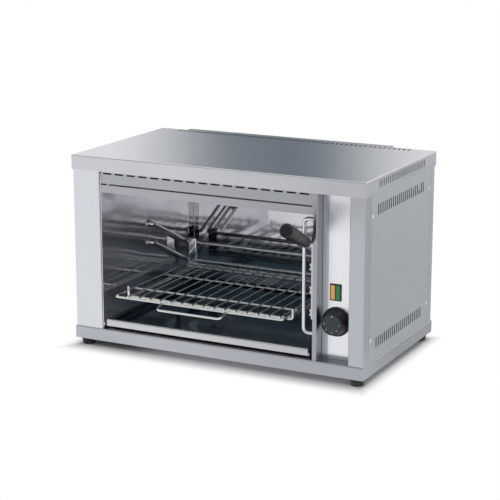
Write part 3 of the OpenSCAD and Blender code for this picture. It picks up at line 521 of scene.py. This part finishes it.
class Finishes:
    """Every finish of the object, by the name that the pieces ask for."""

    recipes: ClassVar[tuple[Finish, ...]] = (
        BrushedSheet("cover_brushed_steel", (0.63, 0.645, 0.675), 0.22, Grain.ALONG_X),
        # Painted shade: the plinth's steel is a darker copy of the cover's, standing in for the shadowed
        # floor it reflects.
        BrushedSheet("plinth_shaded_steel", (0.47, 0.49, 0.525), 0.24, Grain.ALONG_X),
        # Painted shade: the right post is a darker copy of the left post's steel, standing in for the darker
        # reflection it shows.
        BrushedSheet("right_post_shaded_steel", (0.55, 0.57, 0.605), 0.22, Grain.ALONG_Z),
        BrushedSheet("post_brushed_steel", (0.68, 0.70, 0.74), 0.22, Grain.ALONG_Z),
        BrushedSheet("side_brushed_steel", (0.545, 0.58, 0.60), 0.28, Grain.ALONG_Y, rough_spread=0.015,
                     tint=0.985),
        BrushedSheet("back_brushed_steel", (0.46, 0.47, 0.475), 0.34, Grain.ALONG_X),
        BrushedSheet("rack_steel", (0.62, 0.63, 0.65), 0.24, Grain.ALONG_Z),
        BrushedSheet("casing_galvanised", (0.46, 0.47, 0.48), 0.42, Grain.ROUND, tint=0.82, stretch=0.0),
        BrushedSheet("reflector_aluminium", (0.70, 0.70, 0.70), 0.22, Grain.ALONG_X),
        BrushedSheet("shield_aluminium", (0.6, 0.6, 0.6), 0.35, Grain.ALONG_Y),
        SmearedSheet("wall_steel", (0.93, 0.94, 0.97), 0.06, (0.73, 0.74, 0.78), (5.0, 7.0, 12.0),
                     wave=0.0020, turn=(0.5, 0.0, 0.0), haze=0.11),
        # Painted shade: the rear wall's steel is a darker copy of the side walls', standing in for the shade
        # at the back of the heated space.
        SmearedSheet("rear_wall_shaded_steel", (0.57, 0.58, 0.60), 0.045, (0.43, 0.44, 0.47), (7.0, 5.0, 12.0)),
        PlainMetal("bracket_steel", (0.84, 0.85, 0.87), 0.10),
        PlainMetal("chromed_rod", (0.80, 0.81, 0.83), 0.06),
        PlainMetal("chromed_wire", (0.84, 0.84, 0.83), 0.08),
        PlainMetal("screw_steel", (0.86, 0.86, 0.87), 0.2, mottle=0.08, scale=260.0),
        PlainMetal("zinc_plate", (0.62, 0.62, 0.61), 0.26, mottle=0.12, scale=260.0),
        PlainMetal("heater_sheath", (0.16, 0.14, 0.13), 0.5, scale=140.0, worn=(0.09, 0.08, 0.08)),
        PlainMetal("turned_brass", (0.70, 0.52, 0.25), 0.28, mottle=0.2, scale=180.0),
        PlainMetal("spring_steel", (0.32, 0.32, 0.33), 0.35),
        MouldedPlastic("black_grip", (0.008, 0.008, 0.009), 0.26, specular=0.4),
        MouldedPlastic("black_knob", (0.009, 0.011, 0.012), 0.34, depth=5e-5, specular=0.4),
        MouldedPlastic("black_bezel", (0.010, 0.010, 0.010), 0.22, coat=0.2),
        MouldedPlastic("bakelite", (0.60, 0.54, 0.40), 0.45),
        MouldedPlastic("porcelain", (0.78, 0.75, 0.68), 0.15, coat=0.6),
        MouldedPlastic("orange_lens", (0.9216, 0.4452, 0.0887), 0.16, coat=0.5, glow=0.05),
        MouldedPlastic("green_lens", (0.0070, 0.2307, 0.0612), 0.16, coat=0.5, glow=0.05),
        MouldedPlastic("black_gland", (0.02, 0.02, 0.021), 0.5),
        MouldedPlastic("foot_rubber", (0.012, 0.012, 0.012), 0.62, depth=1e-4, scale=420.0),
        MouldedPlastic("dial_slate", (0.026, 0.038, 0.044), 0.42, depth=3e-5, specular=0.4),
        MouldedPlastic("dial_white", (0.62, 0.63, 0.62), 0.45),
    )

    def __init__(self) -> None:
        """Makes the materials of the recipes."""
        self.made = {recipe.name: recipe.make() for recipe in self.recipes}

    def add(self, recipe: Finish) -> None:
        """Makes one more material, from a recipe that depends on a node's size."""
        self.made[recipe.name] = recipe.make()

    def __getitem__(self, name: str) -> bpy.types.Material:
        """Returns the material of that name."""
        return self.made[name]


def stand(name: str, data: bpy.types.ID) -> bpy.types.Object:
    """Makes an object of its data and puts it in the scene.

    Args:
        name: The object's name.
        data: The mesh, the text, the light or the camera.

    Returns:
        The object.
    """
    made = bpy.data.objects.new(name, data)
    bpy.context.scene.collection.objects.link(made)
    return made


def mesh_of(name: str, form: bmesh.types.BMesh) -> bpy.types.Mesh:
    """Turns a form into a mesh.

    Args:
        name: The mesh's name.
        form: The form, which is used up.

    Returns:
        The mesh.
    """
    mesh = bpy.data.meshes.new(name)
    form.to_mesh(mesh)
    form.free()
    return mesh


def sheet(name: str, width: float, height: float, material: bpy.types.Material) -> bpy.types.Object:
    """Makes a flat sheet about the origin.

    Args:
        name: The sheet's name.
        width: Its size on X, in metres.
        height: Its size on Y, in metres.
        material: Its material.

    Returns:
        The sheet.
    """
    form = bmesh.new()
    bmesh.ops.create_grid(form, x_segments=1, y_segments=1, size=0.5)
    bmesh.ops.scale(form, vec=(width, height, 1), verts=form.verts)
    mesh = mesh_of(name, form)
    mesh.materials.append(material)
    return stand(name, mesh)


class Workshop:
    """Turns bmesh forms into finished pieces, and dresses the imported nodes."""

    merge_distance: ClassVar[float] = 1e-6
    crease_angle: ClassVar[float] = math.radians(35)

    def __init__(self, nodes: dict[str, bpy.types.Object], finishes: Finishes) -> None:
        """Keeps what it works on.

        Args:
            nodes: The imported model's nodes.
            finishes: The materials.
        """
        self.nodes = nodes
        self.finishes = finishes

    def dress(self, finish: str, names: Iterable[str]) -> None:
        """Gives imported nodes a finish.

        Args:
            finish: The finish's name.
            names: The nodes' names.
        """
        for name in names:
            slots = self.nodes[name].data.materials
            slots.clear()
            slots.append(self.finishes[finish])
            LOG.info("node %s: %s", name, finish)

    def inside(self, name: str, point: Vector) -> Vector:
        """Returns a point in the own coordinates of the node of that name."""
        return self.nodes[name].matrix_world.inverted() @ point

    def piece(self, name: str, form: bmesh.types.BMesh, finish: str, body: str, slot: str,
              replaced: Sequence[str] = (), smooth: bool = True) -> None:
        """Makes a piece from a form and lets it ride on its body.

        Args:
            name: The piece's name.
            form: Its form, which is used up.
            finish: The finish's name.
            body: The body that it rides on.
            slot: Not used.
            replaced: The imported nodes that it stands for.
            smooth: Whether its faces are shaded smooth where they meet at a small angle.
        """
        bmesh.ops.remove_doubles(form, verts=form.verts, dist=self.merge_distance)
        bmesh.ops.recalc_face_normals(form, faces=form.faces)
        for face in form.faces:
            face.smooth = smooth
        for edge in form.edges:
            edge.smooth = edge.calc_face_angle(math.pi) < self.crease_angle
        mesh = mesh_of(name, form)
        mesh.materials.append(self.finishes[finish])
        made = stand(name, mesh)
        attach(made, body)
        if replaced:
            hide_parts(*replaced)
        LOG.info("piece %s: %d faces on %s", name, len(mesh.polygons), body)

    @staticmethod
    def join(target: bmesh.types.BMesh, source: bmesh.types.BMesh, place: Matrix) -> None:
        """Adds a placed copy of one form to another.

        Args:
            target: The form that grows.
            source: The form that is copied.
            place: Where the copy goes.
        """
        mesh = mesh_of("copy", source.copy())
        mesh.transform(place)
        target.from_mesh(mesh)
        bpy.data.meshes.remove(mesh)

    @staticmethod
    def carved(body: bmesh.types.BMesh, cutter: bmesh.types.BMesh) -> bmesh.types.BMesh:
        """Cuts one closed form from another.

        Args:
            body: The form that is cut, which is used up.
            cutter: The form that cuts, which is used up.

        Returns:
            The cut form.
        """
        made = [stand("carving", mesh_of("carving", form)) for form in (body, cutter)]
        cut = made[0].modifiers.new("cut", "BOOLEAN")
        cut.operation = "DIFFERENCE"
        cut.solver = "EXACT"
        cut.object = made[1]
        graph = bpy.context.evaluated_depsgraph_get()
        result = bmesh.new()
        result.from_mesh(made[0].evaluated_get(graph).to_mesh())
        for item in made:
            # The object goes with its mesh.
            bpy.data.meshes.remove(item.data)
        return result

    @staticmethod
    def block(low: Vector, high: Vector, edge: float = 0.0, steps: int = 2) -> bmesh.types.BMesh:
        """Makes a block with softened edges.

        Args:
            low: Its lowest corner.
            high: Its highest corner.
            edge: The width of the soft edges.
            steps: Their segments.

        Returns:
            The block's form.
        """
        form = bmesh.new()
        bmesh.ops.create_cube(form, size=1.0)
        bmesh.ops.scale(form, vec=high - low, verts=form.verts)
        bmesh.ops.translate(form, vec=(high + low) / 2, verts=form.verts)
        if edge:
            Workshop.soften(form, form.edges, edge, steps)
        return form

    @staticmethod
    def soften(form: bmesh.types.BMesh, edges: Iterable[bmesh.types.BMEdge], width: float,
               steps: int = 2) -> None:
        """Rounds edges of a form.

        Args:
            form: The form.
            edges: The edges to round.
            width: The width of the rounding.
            steps: Its segments.
        """
        bmesh.ops.bevel(form, geom=list(edges), offset=width, segments=steps, profile=0.5,
                        affect="EDGES", material=-1)

    @staticmethod
    def turned(outline: Sequence[Pair], steps: int) -> bmesh.types.BMesh:
        """Turns an outline about the Z axis.

        Args:
            outline: Pairs of radius and height, in millimetres.
            steps: The number of steps round.

        Returns:
            The turned form.
        """
        form = bmesh.new()
        corners = [form.verts.new((radius * MM, 0, height * MM)) for radius, height in outline]
        edges = [form.edges.new(pair) for pair in zip(corners, corners[1:])]
        bmesh.ops.spin(form, geom=corners + edges, cent=(0, 0, 0), axis=(0, 0, 1), angle=math.tau,
                       steps=steps, use_merge=True)
        bmesh.ops.remove_doubles(form, verts=form.verts, dist=Workshop.merge_distance)
        return form

    @staticmethod
    def disc(form: bmesh.types.BMesh, middle: Vector, radius: float, thick: float, steps: int) -> None:
        """Adds an upright disc that faces the front.

        Args:
            form: The form that gets it.
            middle: Its middle.
            radius: Its radius, in millimetres.
            thick: Its thickness, in millimetres.
            steps: The number of steps round.
        """
        bmesh.ops.create_cone(form, cap_ends=True, segments=steps, radius1=radius * MM, radius2=radius * MM,
                              depth=thick * MM, matrix=Matrix.Translation(middle) @ FACING_FRONT)


@dataclass(frozen=True)
class CrossHeadScrew:
    """Domed sheet screw with a cross recess, drawn with its head's seat on Z = 0, in millimetres."""

    head_d: float = 8.0
    head_h: float = 1.25
    rim_part: float = 0.22
    shank_d: float = 3.9
    shank_l: float = 7.0
    tip_in: float = 0.8
    tip_l: float = 1.5
    recess_l: float = 4.4
    recess_w: float = 1.0
    recess_depth: float = 0.9
    recess_taper: float = 0.35
    steps: int = 32

    def form(self) -> bmesh.types.BMesh:
        """Returns the screw's form."""
        head, shank = self.head_d / 2, self.shank_d / 2
        outline = [(0, -self.shank_l), (shank - self.tip_in, -self.shank_l),
                   (shank, self.tip_l - self.shank_l), (shank, 0), (head, 0)]
        for turn in map(math.radians, range(0, 90, 15)):
            rise = self.rim_part + (1 - self.rim_part) * math.sin(turn)
            outline.append((head * math.cos(turn), self.head_h * rise))
        body = Workshop.turned([*outline, (0, self.head_h)], self.steps)
        half = Vector((self.recess_l, self.recess_w, 0)) / 2
        floor = Vector((0, 0, self.head_h - self.recess_depth))
        above = Vector((0, 0, self.head_h + 1))
        for turn in (0, 90):
            bar = Workshop.block((floor - half) * MM, (above + half) * MM)
            # The recess is shorter at its floor.
            for corner in bar.verts:
                if corner.co.z < self.head_h * MM:
                    corner.co.x *= self.recess_taper
            bmesh.ops.rotate(bar, matrix=Matrix.Rotation(math.radians(turn), 3, "Z"), verts=bar.verts)
            body = Workshop.carved(body, bar)
        return body


@dataclass
class Assembly:
    """Nodes that are dressed together and get details of their own. Sizes are in millimetres."""

    dressing: ClassVar[Dressing]
    shop: Workshop

    def build(self) -> None:
        """Makes the assembly's own finishes, dresses its nodes and makes its details."""
        self.make_finishes()
        for finish, names in self.dressing.items():
            self.shop.dress(finish, names)
        self.make_details()

    def make_finishes(self) -> None:
        """Makes the finishes that depend on a node's size, where there are any."""

    def make_details(self) -> None:
        """Makes the pieces that are added to the nodes, where there are any."""


@dataclass
class Cabinet(Assembly):
    """The cover, the plinth, the posts, the panels round them, the casing and the feet."""

    dressing: ClassVar[Dressing] = {
        "cover_brushed_steel": ("top_cover",),
        "plinth_shaded_steel": ("base_pan",),
        "frame_brushed_steel": ("front_frame",),
        "post_brushed_steel": ("left_column",),
        "right_post_shaded_steel": ("right_column",),
        "side_brushed_steel": ("rear_post_left", "rear_post_right", "left_side_panel", "right_side_panel"),
        "back_brushed_steel": ("back_panel",),
        "casing_galvanised": ("rear_casing",),
        "foot_rubber": ("foot_front_left", "foot_front_right", "foot_rear_left", "foot_rear_right"),
        "zinc_plate": ("foot_screws", "panel_screws", "casing_screws"),
    }
    frame_front: float = 3.0
    panel_seat: float = 1.2
    casing_seat: float = 1.6
    screw: CrossHeadScrew = CrossHeadScrew()
    screw_turns: tuple[float, ...] = (12.0, 57.0, 33.0, 80.0, 5.0, 41.0, 68.0, 22.0)

    def make_finishes(self) -> None:
        """Makes the front frame's finish, darkened with painted shade where its stile turns back into the
        recess beside the controls.
        """
        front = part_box("front_frame")[0] + Vector((0, self.frame_front * MM, 0))
        behind = self.shop.inside("front_frame", front).y
        # Painted shade: the frame's return behind its front is darker, standing in for the shade in the
        # recess beside the controls.
        self.shop.finishes.add(ShadedPartSheet("frame_brushed_steel", (0.44, 0.455, 0.485), 0.24, Grain.ALONG_X,
                                            axis="Y", line=(behind, behind + MM), shade_colour=(0.40, 0.415, 0.44)))

    def make_details(self) -> None:
        """Makes the screws of the side panels and the casing."""
        self.make_panel_screws()
        self.make_casing_screws()

    def make_panel_screws(self) -> None:
        """Puts a screw in each of the side panels' eight holes."""
        low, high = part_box("panel_screws")
        edge = self.screw.head_d / 2 * MM
        seat = high.x - self.panel_seat * MM
        self.make_screws("side_panel_screws", "panel_screws", [
            (Vector((side * seat, y, z)), Matrix.Rotation(side * math.pi / 2, 4, "Y"))
            for side in (-1, 1)
            for y in (low.y + edge, high.y - edge)
            for z in (low.z + edge, high.z - edge)
        ])

    def make_casing_screws(self) -> None:
        """Puts a screw in each of the casing's six holes."""
        low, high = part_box("casing_screws")
        edge = self.screw.head_d / 2 * MM
        seat = high.y - self.casing_seat * MM
        self.make_screws("casing_cover_screws", "casing_screws", [
            (Vector((x, seat, z)), FACING_FRONT.inverted())
            for x in (low.x + edge, high.x - edge)
            for z in (low.z + edge, (low.z + high.z) / 2, high.z - edge)
        ])

    def make_screws(self, name: str, node: str, places: Iterable[tuple[Vector, Matrix]]) -> None:
        """Makes a piece of cross-head screws, each with its cross at another turn.

        Args:
            name: The piece's name.
            node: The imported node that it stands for.
            places: The seat of each screw and the turn that points it outward.
        """
        form = bmesh.new()
        one = self.screw.form()
        for (seat, outward), turn in zip(places, self.screw_turns):
            spin = Matrix.Rotation(math.radians(turn), 4, "Z")
            Workshop.join(form, one, Matrix.Translation(seat) @ outward @ spin)
        one.free()
        self.shop.piece(name, form, "screw_steel", "cabinet", "zinc_plate", (node,))


@dataclass
class HeatedSpace(Assembly):
    """The walls round the grid, the reflector with its heaters, and the crumb tray."""

    dressing: ClassVar[Dressing] = {
        "wall_steel": ("cavity_left_wall", "cavity_right_wall"),
        "rear_wall_shaded_steel": ("cavity_back_wall",),
        "reflector_aluminium": ("reflector",),
        "shield_aluminium": ("heat_shield",),
        "heater_sheath": ("heater_front", "heater_middle", "heater_rear"),
        "zinc_plate": ("heater_terminals",),
        "casing_galvanised": ("heater_hanger_left", "heater_hanger_right"),
        "rack_steel": ("tray_runner_left", "tray_runner_right"),
        "tray_steel": ("crumb_tray",),
    }
    lip_depth: float = 8.0
    lip_height: float = 12.0

    def make_finishes(self) -> None:
        """Makes the tray's finish, darkened with painted shade behind its lip."""
        low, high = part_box("crumb_tray")
        behind = self.shop.inside("crumb_tray", low + Vector((0, self.lip_depth * MM, 0)))
        top = self.shop.inside("crumb_tray", high).z
        # Painted shade: the tray's dark blue-grey colours stand in for the shade inside the heated space.
        self.shop.finishes.add(TraySheet("tray_steel", (0.17, 0.24, 0.28), 0.09, (0.30, 0.37, 0.41),
                                         (4.0, 7.0, 7.0), wave=0.0008, lip_y=behind.y,
                                         lip_z=(top - self.lip_height * MM, top)))


@dataclass
class Lift(Assembly):
    """The rods, the brackets, the carrier and the grid."""

    dressing: ClassVar[Dressing] = {
        "chromed_rod": ("lower_arm_rod", "upper_arm_rod", "guide_rod"),
        "chromed_wire": ("grid_carrier", "wire_grid", "pull_loop"),
        "zinc_plate": ("pivot_bushes",),
        "spring_steel": ("lower_clips", "upper_clips"),
        "rack_steel": ("notch_rack",),
        "bracket_steel": ("lift_bracket_left", "lift_bracket_right"),
        "black_grip": ("lever_grip",),
    }
    wire_edge: float = 8.5
    wire_count: int = 16
    front_row: float = 2.0
    rear_row: float = 1.5
    cross_rows: Pair = (70.0, 185.0)
    weld_up: float = 4.85
    weld_size: Triple = (2.3, 1.9, 1.0)

    def make_details(self) -> None:
        """Puts a flattened weld where each wire lies on a rod of the grid."""
        low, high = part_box("wire_grid")
        left = low.x + self.wire_edge * MM
        step = (high.x - low.x - 2 * self.wire_edge * MM) / (self.wire_count - 1)
        front = low.y + self.front_row * MM
        rows = [front, high.y - self.rear_row * MM, *(front + reach * MM for reach in self.cross_rows)]
        form = bmesh.new()
        for row in rows:
            for number in range(self.wire_count):
                place = Matrix.Translation((left + number * step, row, low.z + self.weld_up * MM))
                made = bmesh.ops.create_icosphere(form, subdivisions=2, radius=MM, matrix=place)
                bmesh.ops.scale(form, vec=self.weld_size, space=place.inverted(), verts=made["verts"])
        self.shop.piece("grid_welds", form, "chromed_wire", "grid", "chromed_wire")


@dataclass
class Controls(Assembly):
    """The recessed panel, the regulator and the terminals behind it, and the gland of the inlet."""

    dressing: ClassVar[Dressing] = {
        "bright_panel_steel": ("control_panel",),
        "bakelite": ("energy_regulator",),
        "turned_brass": ("regulator_nut",),
        "zinc_plate": ("regulator_shaft",),
        "porcelain": ("terminal_block",),
        "black_gland": ("cable_gland",),
    }
    reflection_strip_w: float = 13.0

    def make_finishes(self) -> None:
        """Makes the control panel's finish, with a painted reflection of the recess wall: a dark strip
        beside the stile.
        """
        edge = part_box("control_panel")[0] + Vector((self.reflection_strip_w * MM, 0, 0))
        past = self.shop.inside("control_panel", edge).x
        # Painted reflection: the dark strip beside the stile stands in for the recess wall mirrored in the
        # panel.
        self.shop.finishes.add(ShadedPartSheet("bright_panel_steel", (0.98, 0.985, 1.0), 0.24, Grain.ALONG_Z,
                                            stretch=0.8, milk=0.15, axis="X", line=(past + MM / 2, past),
                                            shade_colour=(0.60, 0.62, 0.66)))


@dataclass
class Knob(Assembly):
    """The regulator's knob with its dial."""

    dressing: ClassVar[Dressing] = {"black_knob": ("knob",)}
    face_sink: float = 0.6
    face_r: float = 17.5
    face_t: float = 0.3
    face_edge: float = 0.12
    face_steps: int = 96
    digits: tuple[tuple[float, str], ...] = (
        (45.0, "1"), (90.0, "2"), (135.0, "3"), (180.0, "4"), (225.0, "5"), (270.0, "6"))
    digit_size: float = 4.2
    ring_r: float = 14.6
    dot_r: float = 1.25
    dot_steps: int = 24
    mark_t: float = 0.08

    def make_details(self) -> None:
        """Makes the dial's face and its marks."""
        self.make_dial_face()
        self.make_dial_marks()

    @staticmethod
    def middle(depth: float) -> Vector:
        """Returns the knob's middle at a depth behind its front, given in millimetres."""
        low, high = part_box("knob")
        return Vector(((low.x + high.x) / 2, low.y + depth * MM, (low.z + high.z) / 2))

    def make_dial_face(self) -> None:
        """Lays a slate-grey disc with a soft rim into the knob's face."""
        form = bmesh.new()
        middle = self.middle(self.face_sink - self.face_t / 2)
        Workshop.disc(form, middle, self.face_r, self.face_t, self.face_steps)
        # The rims are the edges of the two round faces, the only ones with more than four corners.
        rims = [edge for edge in form.edges if any(len(face.verts) > 4 for face in edge.link_faces)]
        Workshop.soften(form, rims, self.face_edge * MM)
        self.shop.piece("dial_face", form, "dial_slate", "knob", "black_knob")

    def make_dial_marks(self) -> None:
        """Prints the setting's numbers and the off mark on the knob's face."""
        middle = self.middle(self.face_sink - self.face_t - self.mark_t / 2)
        out = Vector((0, 0, self.ring_r * MM))
        form = bmesh.new()
        for turn, digit in self.digits:
            text = bpy.data.curves.new("digit", "FONT")
            text.body = digit
            text.size = self.digit_size * MM
            text.extrude = self.mark_t / 2 * MM
            text.align_x = "CENTER"
            text.align_y = "CENTER"
            item = stand("digit", text)
            about = Matrix.Rotation(math.radians(turn), 4, "Y")
            mesh = item.evaluated_get(bpy.context.evaluated_depsgraph_get()).to_mesh()
            mesh.transform(Matrix.Translation(middle) @ about @ Matrix.Translation(out) @ FACING_FRONT)
            form.from_mesh(mesh)
            bpy.data.objects.remove(item)
            bpy.data.curves.remove(text)
        Workshop.disc(form, middle + out, self.dot_r, self.mark_t, self.dot_steps)
        self.shop.piece("dial_marks", form, "dial_white", "knob", "black_knob", smooth=False)


@dataclass
class PilotLamp(Assembly):
    """The twin pilot lamp: a bezel on its socket, and two lenses."""

    dressing: ClassVar[Dressing] = {
        "black_bezel": ("pilot_bezel",),
        "orange_lens": ("orange_lens",),
        "green_lens": ("green_lens",),
    }
    lenses: ClassVar[tuple[str, str]] = ("orange_lens", "green_lens")
    bezel_proud: float = 2.2
    bezel_edge: float = 0.8
    socket_in: float = 1.7
    socket_lap: float = 0.2
    socket_edge: float = 0.3
    pocket_gap: float = 0.15
    pocket_reach: float = 3.0
    lens_edge: float = 0.5
    lens_skin: float = 0.05
    rib_count: int = 5
    rib_steps: int = 6
    rib_h: float = 0.45

    def make_details(self) -> None:
        """Makes the bezel and the two lenses."""
        self.make_bezel()
        for name in self.lenses:
            self.make_lens(name)

    def make_bezel(self) -> None:
        """Makes the lamp's bezel with soft edges, its socket and a pocket for each lens."""
        low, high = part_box("pilot_bezel")
        inset = Vector((self.socket_in, 0, self.socket_in)) * MM
        start = Vector((low.x, low.y + (self.bezel_proud - self.socket_lap) * MM, low.z)) + inset
        rim_end = Vector((high.x, low.y + self.bezel_proud * MM, high.z))
        gap = Vector((self.pocket_gap, 0, self.pocket_gap)) * MM
        ahead = Vector((0, self.pocket_reach, 0)) * MM
        form = bmesh.new()
        for part in (Workshop.block(low, rim_end, self.bezel_edge * MM, 3),
                     Workshop.block(start, high - inset, self.socket_edge * MM, 1)):
            for name in self.lenses:
                near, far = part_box(name)
                part = Workshop.carved(part, Workshop.block(near - gap - ahead, far + gap))
            Workshop.join(form, part, Matrix.Identity(4))
            part.free()
        self.shop.piece("lamp_bezel", form, "black_bezel", "cabinet", "black_bezel", ("pilot_bezel",))

    def make_lens(self, name: str) -> None:
        """Makes one lens with upright ribs on its front.

        Args:
            name: The lens's node, which is also its finish.
        """
        low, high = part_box(name)
        form = Workshop.block(low, high, self.lens_edge * MM)
        across = [edge for edge in form.edges
                  if abs(edge.verts[0].co.x - edge.verts[1].co.x) > (high.x - low.x) / 2]
        cuts = self.rib_count * self.rib_steps - 1
        bmesh.ops.subdivide_edges(form, edges=across, cuts=cuts, use_grid_fill=True)
        start = low.x + self.lens_edge * MM
        span = high.x - self.lens_edge * MM - start
        # Only the corners on the flat front move, deepest where two ribs meet.
        for corner in form.verts:
            if corner.co.y < low.y + self.lens_skin * MM:
                along = (corner.co.x - start) / span * self.rib_count
                corner.co.y += self.rib_h * MM * (1 - abs(math.sin(math.pi * along)))
        self.shop.piece(name + "_ribbed", form, name, "cabinet", name, (name,))


@dataclass(frozen=True)
class StudioPart(ABC):
    """Something in the studio that stands at a place and faces a point. Sizes are in metres."""

    name: str
    place: Triple
    aim: Triple

    def facing(self, axis: str) -> Quaternion:
        """Returns the turn that points an axis at the aim."""
        return (Vector(self.aim) - Vector(self.place)).to_track_quat(axis, "Y")

    @abstractmethod
    def make(self) -> None:
        """Builds the part."""


@dataclass(frozen=True)
class Card(StudioPart):
    """A grey card beside the set that only reflections see, soft towards its edges.

    The core is the part of its half width and half height that is fully dark, and the edge its
    brightness at the rim.
    """

    width: float
    height: float
    dark: Colour
    core: Pair
    roll: float = 0.0
    edge: float = 1.0

    def make(self) -> None:
        """Builds the card."""
        tree = NodeTree(self.name)
        axes = tree.apart((2 / self.width, 2 / self.height, 1))
        edges = [tree.smooth(tree.maths("ABSOLUTE", axes[axis]), core, 1.0)
                 for axis, core in zip("XY", self.core)]
        colour = tree.mix(MixKind.RGBA, tree.maths("MAXIMUM", *edges), self.dark, (self.edge,) * 3)
        material = tree.finish(tree.add("ShaderNodeEmission", {"Color": colour}))
        card = sheet(self.name, self.width, self.height, material)
        card.location = self.place
        roll = Matrix.Rotation(math.radians(self.roll), 3, "Z")
        card.rotation_euler = (self.facing("Z").to_matrix() @ roll).to_euler()
        for ray in ("camera", "diffuse", "transmission", "volume_scatter", "shadow"):
            setattr(card, "visible_" + ray, False)


@dataclass(frozen=True)
class Lamp(StudioPart):
    """A soft square lamp that lights the set and doesn't show in the metal."""

    size: float
    power: float

    def make(self) -> None:
        """Builds the lamp."""
        data = bpy.data.lights.new(self.name, "AREA")
        data.shape = "SQUARE"
        data.size = self.size
        data.energy = self.power
        lamp = stand(self.name, data)
        lamp.location = self.place
        lamp.rotation_euler = self.facing("-Z").to_euler()
        lamp.visible_glossy = False


@dataclass
class Studio:
    """The floor, the lamps, the cards, the world and the camera.

    Places and sizes are in metres, angles in degrees, and the lens and the sensor in millimetres.
    """

    camera_at: Triple = (1.3120653, -2.5788189, 0.9033803)
    yaw: float = 26.8447
    pitch: float = 13.8544
    lens: float = 112.935
    sensor: float = 36.0
    world_light: float = 0.55
    floor_size: float = 28.0
    floor_shade_colour: Colour = (0.5, 0.5, 0.51)
    side_shade: Pair = (0.012, 0.024)
    front_shade: Pair = (0.010, 0.046)
    lamps: tuple[Lamp, ...] = (
        Lamp("key", (-1.2, -1.6, 2.4), (0.0, 0.0, 0.15), 1.8, 30.0),
        Lamp("fill", (2.2, -1.8, 1.6), (0.0, 0.0, 0.2), 1.4, 14.0),
        Lamp("top", (0.1, 0.8, 2.6), (0.0, 0.0, 0.2), 2.2, 52.0),
    )
    # Painted reflections: the cards in the air stand for a darker studio in the metal's reflections, and
    # those lying on the floor for the floor's shade.
    cards: tuple[Card, ...] = (
        Card("rear_left_card", (-1.32, 2.75, 1.7), (-0.12, 0.1, 1.7), 1.3, 4.4, (0.16, 0.19, 0.23),
             (0.15, 0.8)),
        Card("front_card", (-0.1, -3.4, 1.7), (0.0, 0.0, 1.7), 6.0, 3.2, (0.08, 0.11, 0.14),
             (0.8, 0.6)),
        Card("floor_card", (1.64, -0.4, 0.002), (1.64, -0.4, 3.0), 3.4, 6.0, (0.83, 0.83, 0.84),
             (0.8, 0.8), roll=-30.0),
        Card("front_floor_card", (0.5, -2.1, 0.004), (0.5, -2.1, 3.0), 2.6, 1.5, (0.5, 0.5, 0.5),
             (0.7, 0.6), edge=0.83),
        Card("side_floor_card", (1.6, 1.3, 0.006), (1.6, 1.3, 3.0), 3.0, 3.0, (0.57, 0.58, 0.59),
             (0.9, 0.8), edge=0.83),
    )

    def build(self) -> None:
        """Makes the whole studio."""
        self.make_world()
        self.make_floor()
        for part in (*self.lamps, *self.cards):
            part.make()
        self.make_camera()

    def make_world(self) -> None:
        """Makes a world that shows white and lights the object softly."""
        tree = NodeTree("studio_world", world=True)
        soft, full = (tree.add("ShaderNodeBackground", {"Color": WHITE, "Strength": strength})
                      for strength in (self.world_light, 1.0))
        bpy.context.scene.world = tree.finish(tree.either(tree.seen_directly(), soft, full))

    def make_floor(self) -> None:
        """Makes a floor that turns to the white backdrop away from the object, and is grey near it: painted
        shade that deepens its shadow.
        """
        low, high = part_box("base_pan")
        side_in, side_out = self.side_shade
        front_in, front_out = self.front_shade
        tree = NodeTree("studio_floor")
        axes = tree.apart()
        away = tree.smooth(axes["X"], high.x - side_in, high.x + side_out)
        for axis, start, end in (("X", low.x + side_in, low.x - side_out),
                                 ("Y", high.y - side_in, high.y + side_out),
                                 ("Y", low.y + front_in, low.y - front_out)):
            away = tree.maths("MAXIMUM", away, tree.smooth(axes[axis], start, end))
        # Painted shade: near the object the floor is grey, which deepens its shadow beyond what the lamps
        # cast.
        matt = tree.add("ShaderNodeBsdfDiffuse", {"Color": self.floor_shade_colour})
        white = tree.add("ShaderNodeEmission", {"Color": WHITE, "Strength": 1.0})
        shown = tree.maths("MULTIPLY", away, tree.seen_directly())
        material = tree.finish(tree.either(shown, matt, white))
        floor = sheet("floor", self.floor_size, self.floor_size, material)

    def make_camera(self) -> None:
        """Makes the camera at the photograph's viewing angle."""
        data = bpy.data.cameras.new("camera")
        data.lens = self.lens
        data.sensor_width = self.sensor
        camera = stand("camera", data)
        camera.location = self.camera_at
        yaw, pitch = math.radians(self.yaw), math.radians(self.pitch)
        level = math.cos(pitch)
        ahead = Vector((-math.sin(yaw) * level, math.cos(yaw) * level, -math.sin(pitch)))
        camera.rotation_euler = ahead.to_track_quat("-Z", "Y").to_euler()
        bpy.context.scene.camera = camera
        bpy.context.scene.view_settings.view_transform = "Standard"


def main() -> None:
    """Builds the scene in order."""
    logging.basicConfig(level=logging.INFO, format="%(name)s: %(message)s")
    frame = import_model()
    shop = Workshop(frame["nodes"], Finishes())
    for assembly in (Cabinet, HeatedSpace, Lift, Controls, Knob, PilotLamp):
        assembly(shop).build()
    Studio().build()


if __name__ == "__main__":
    main()
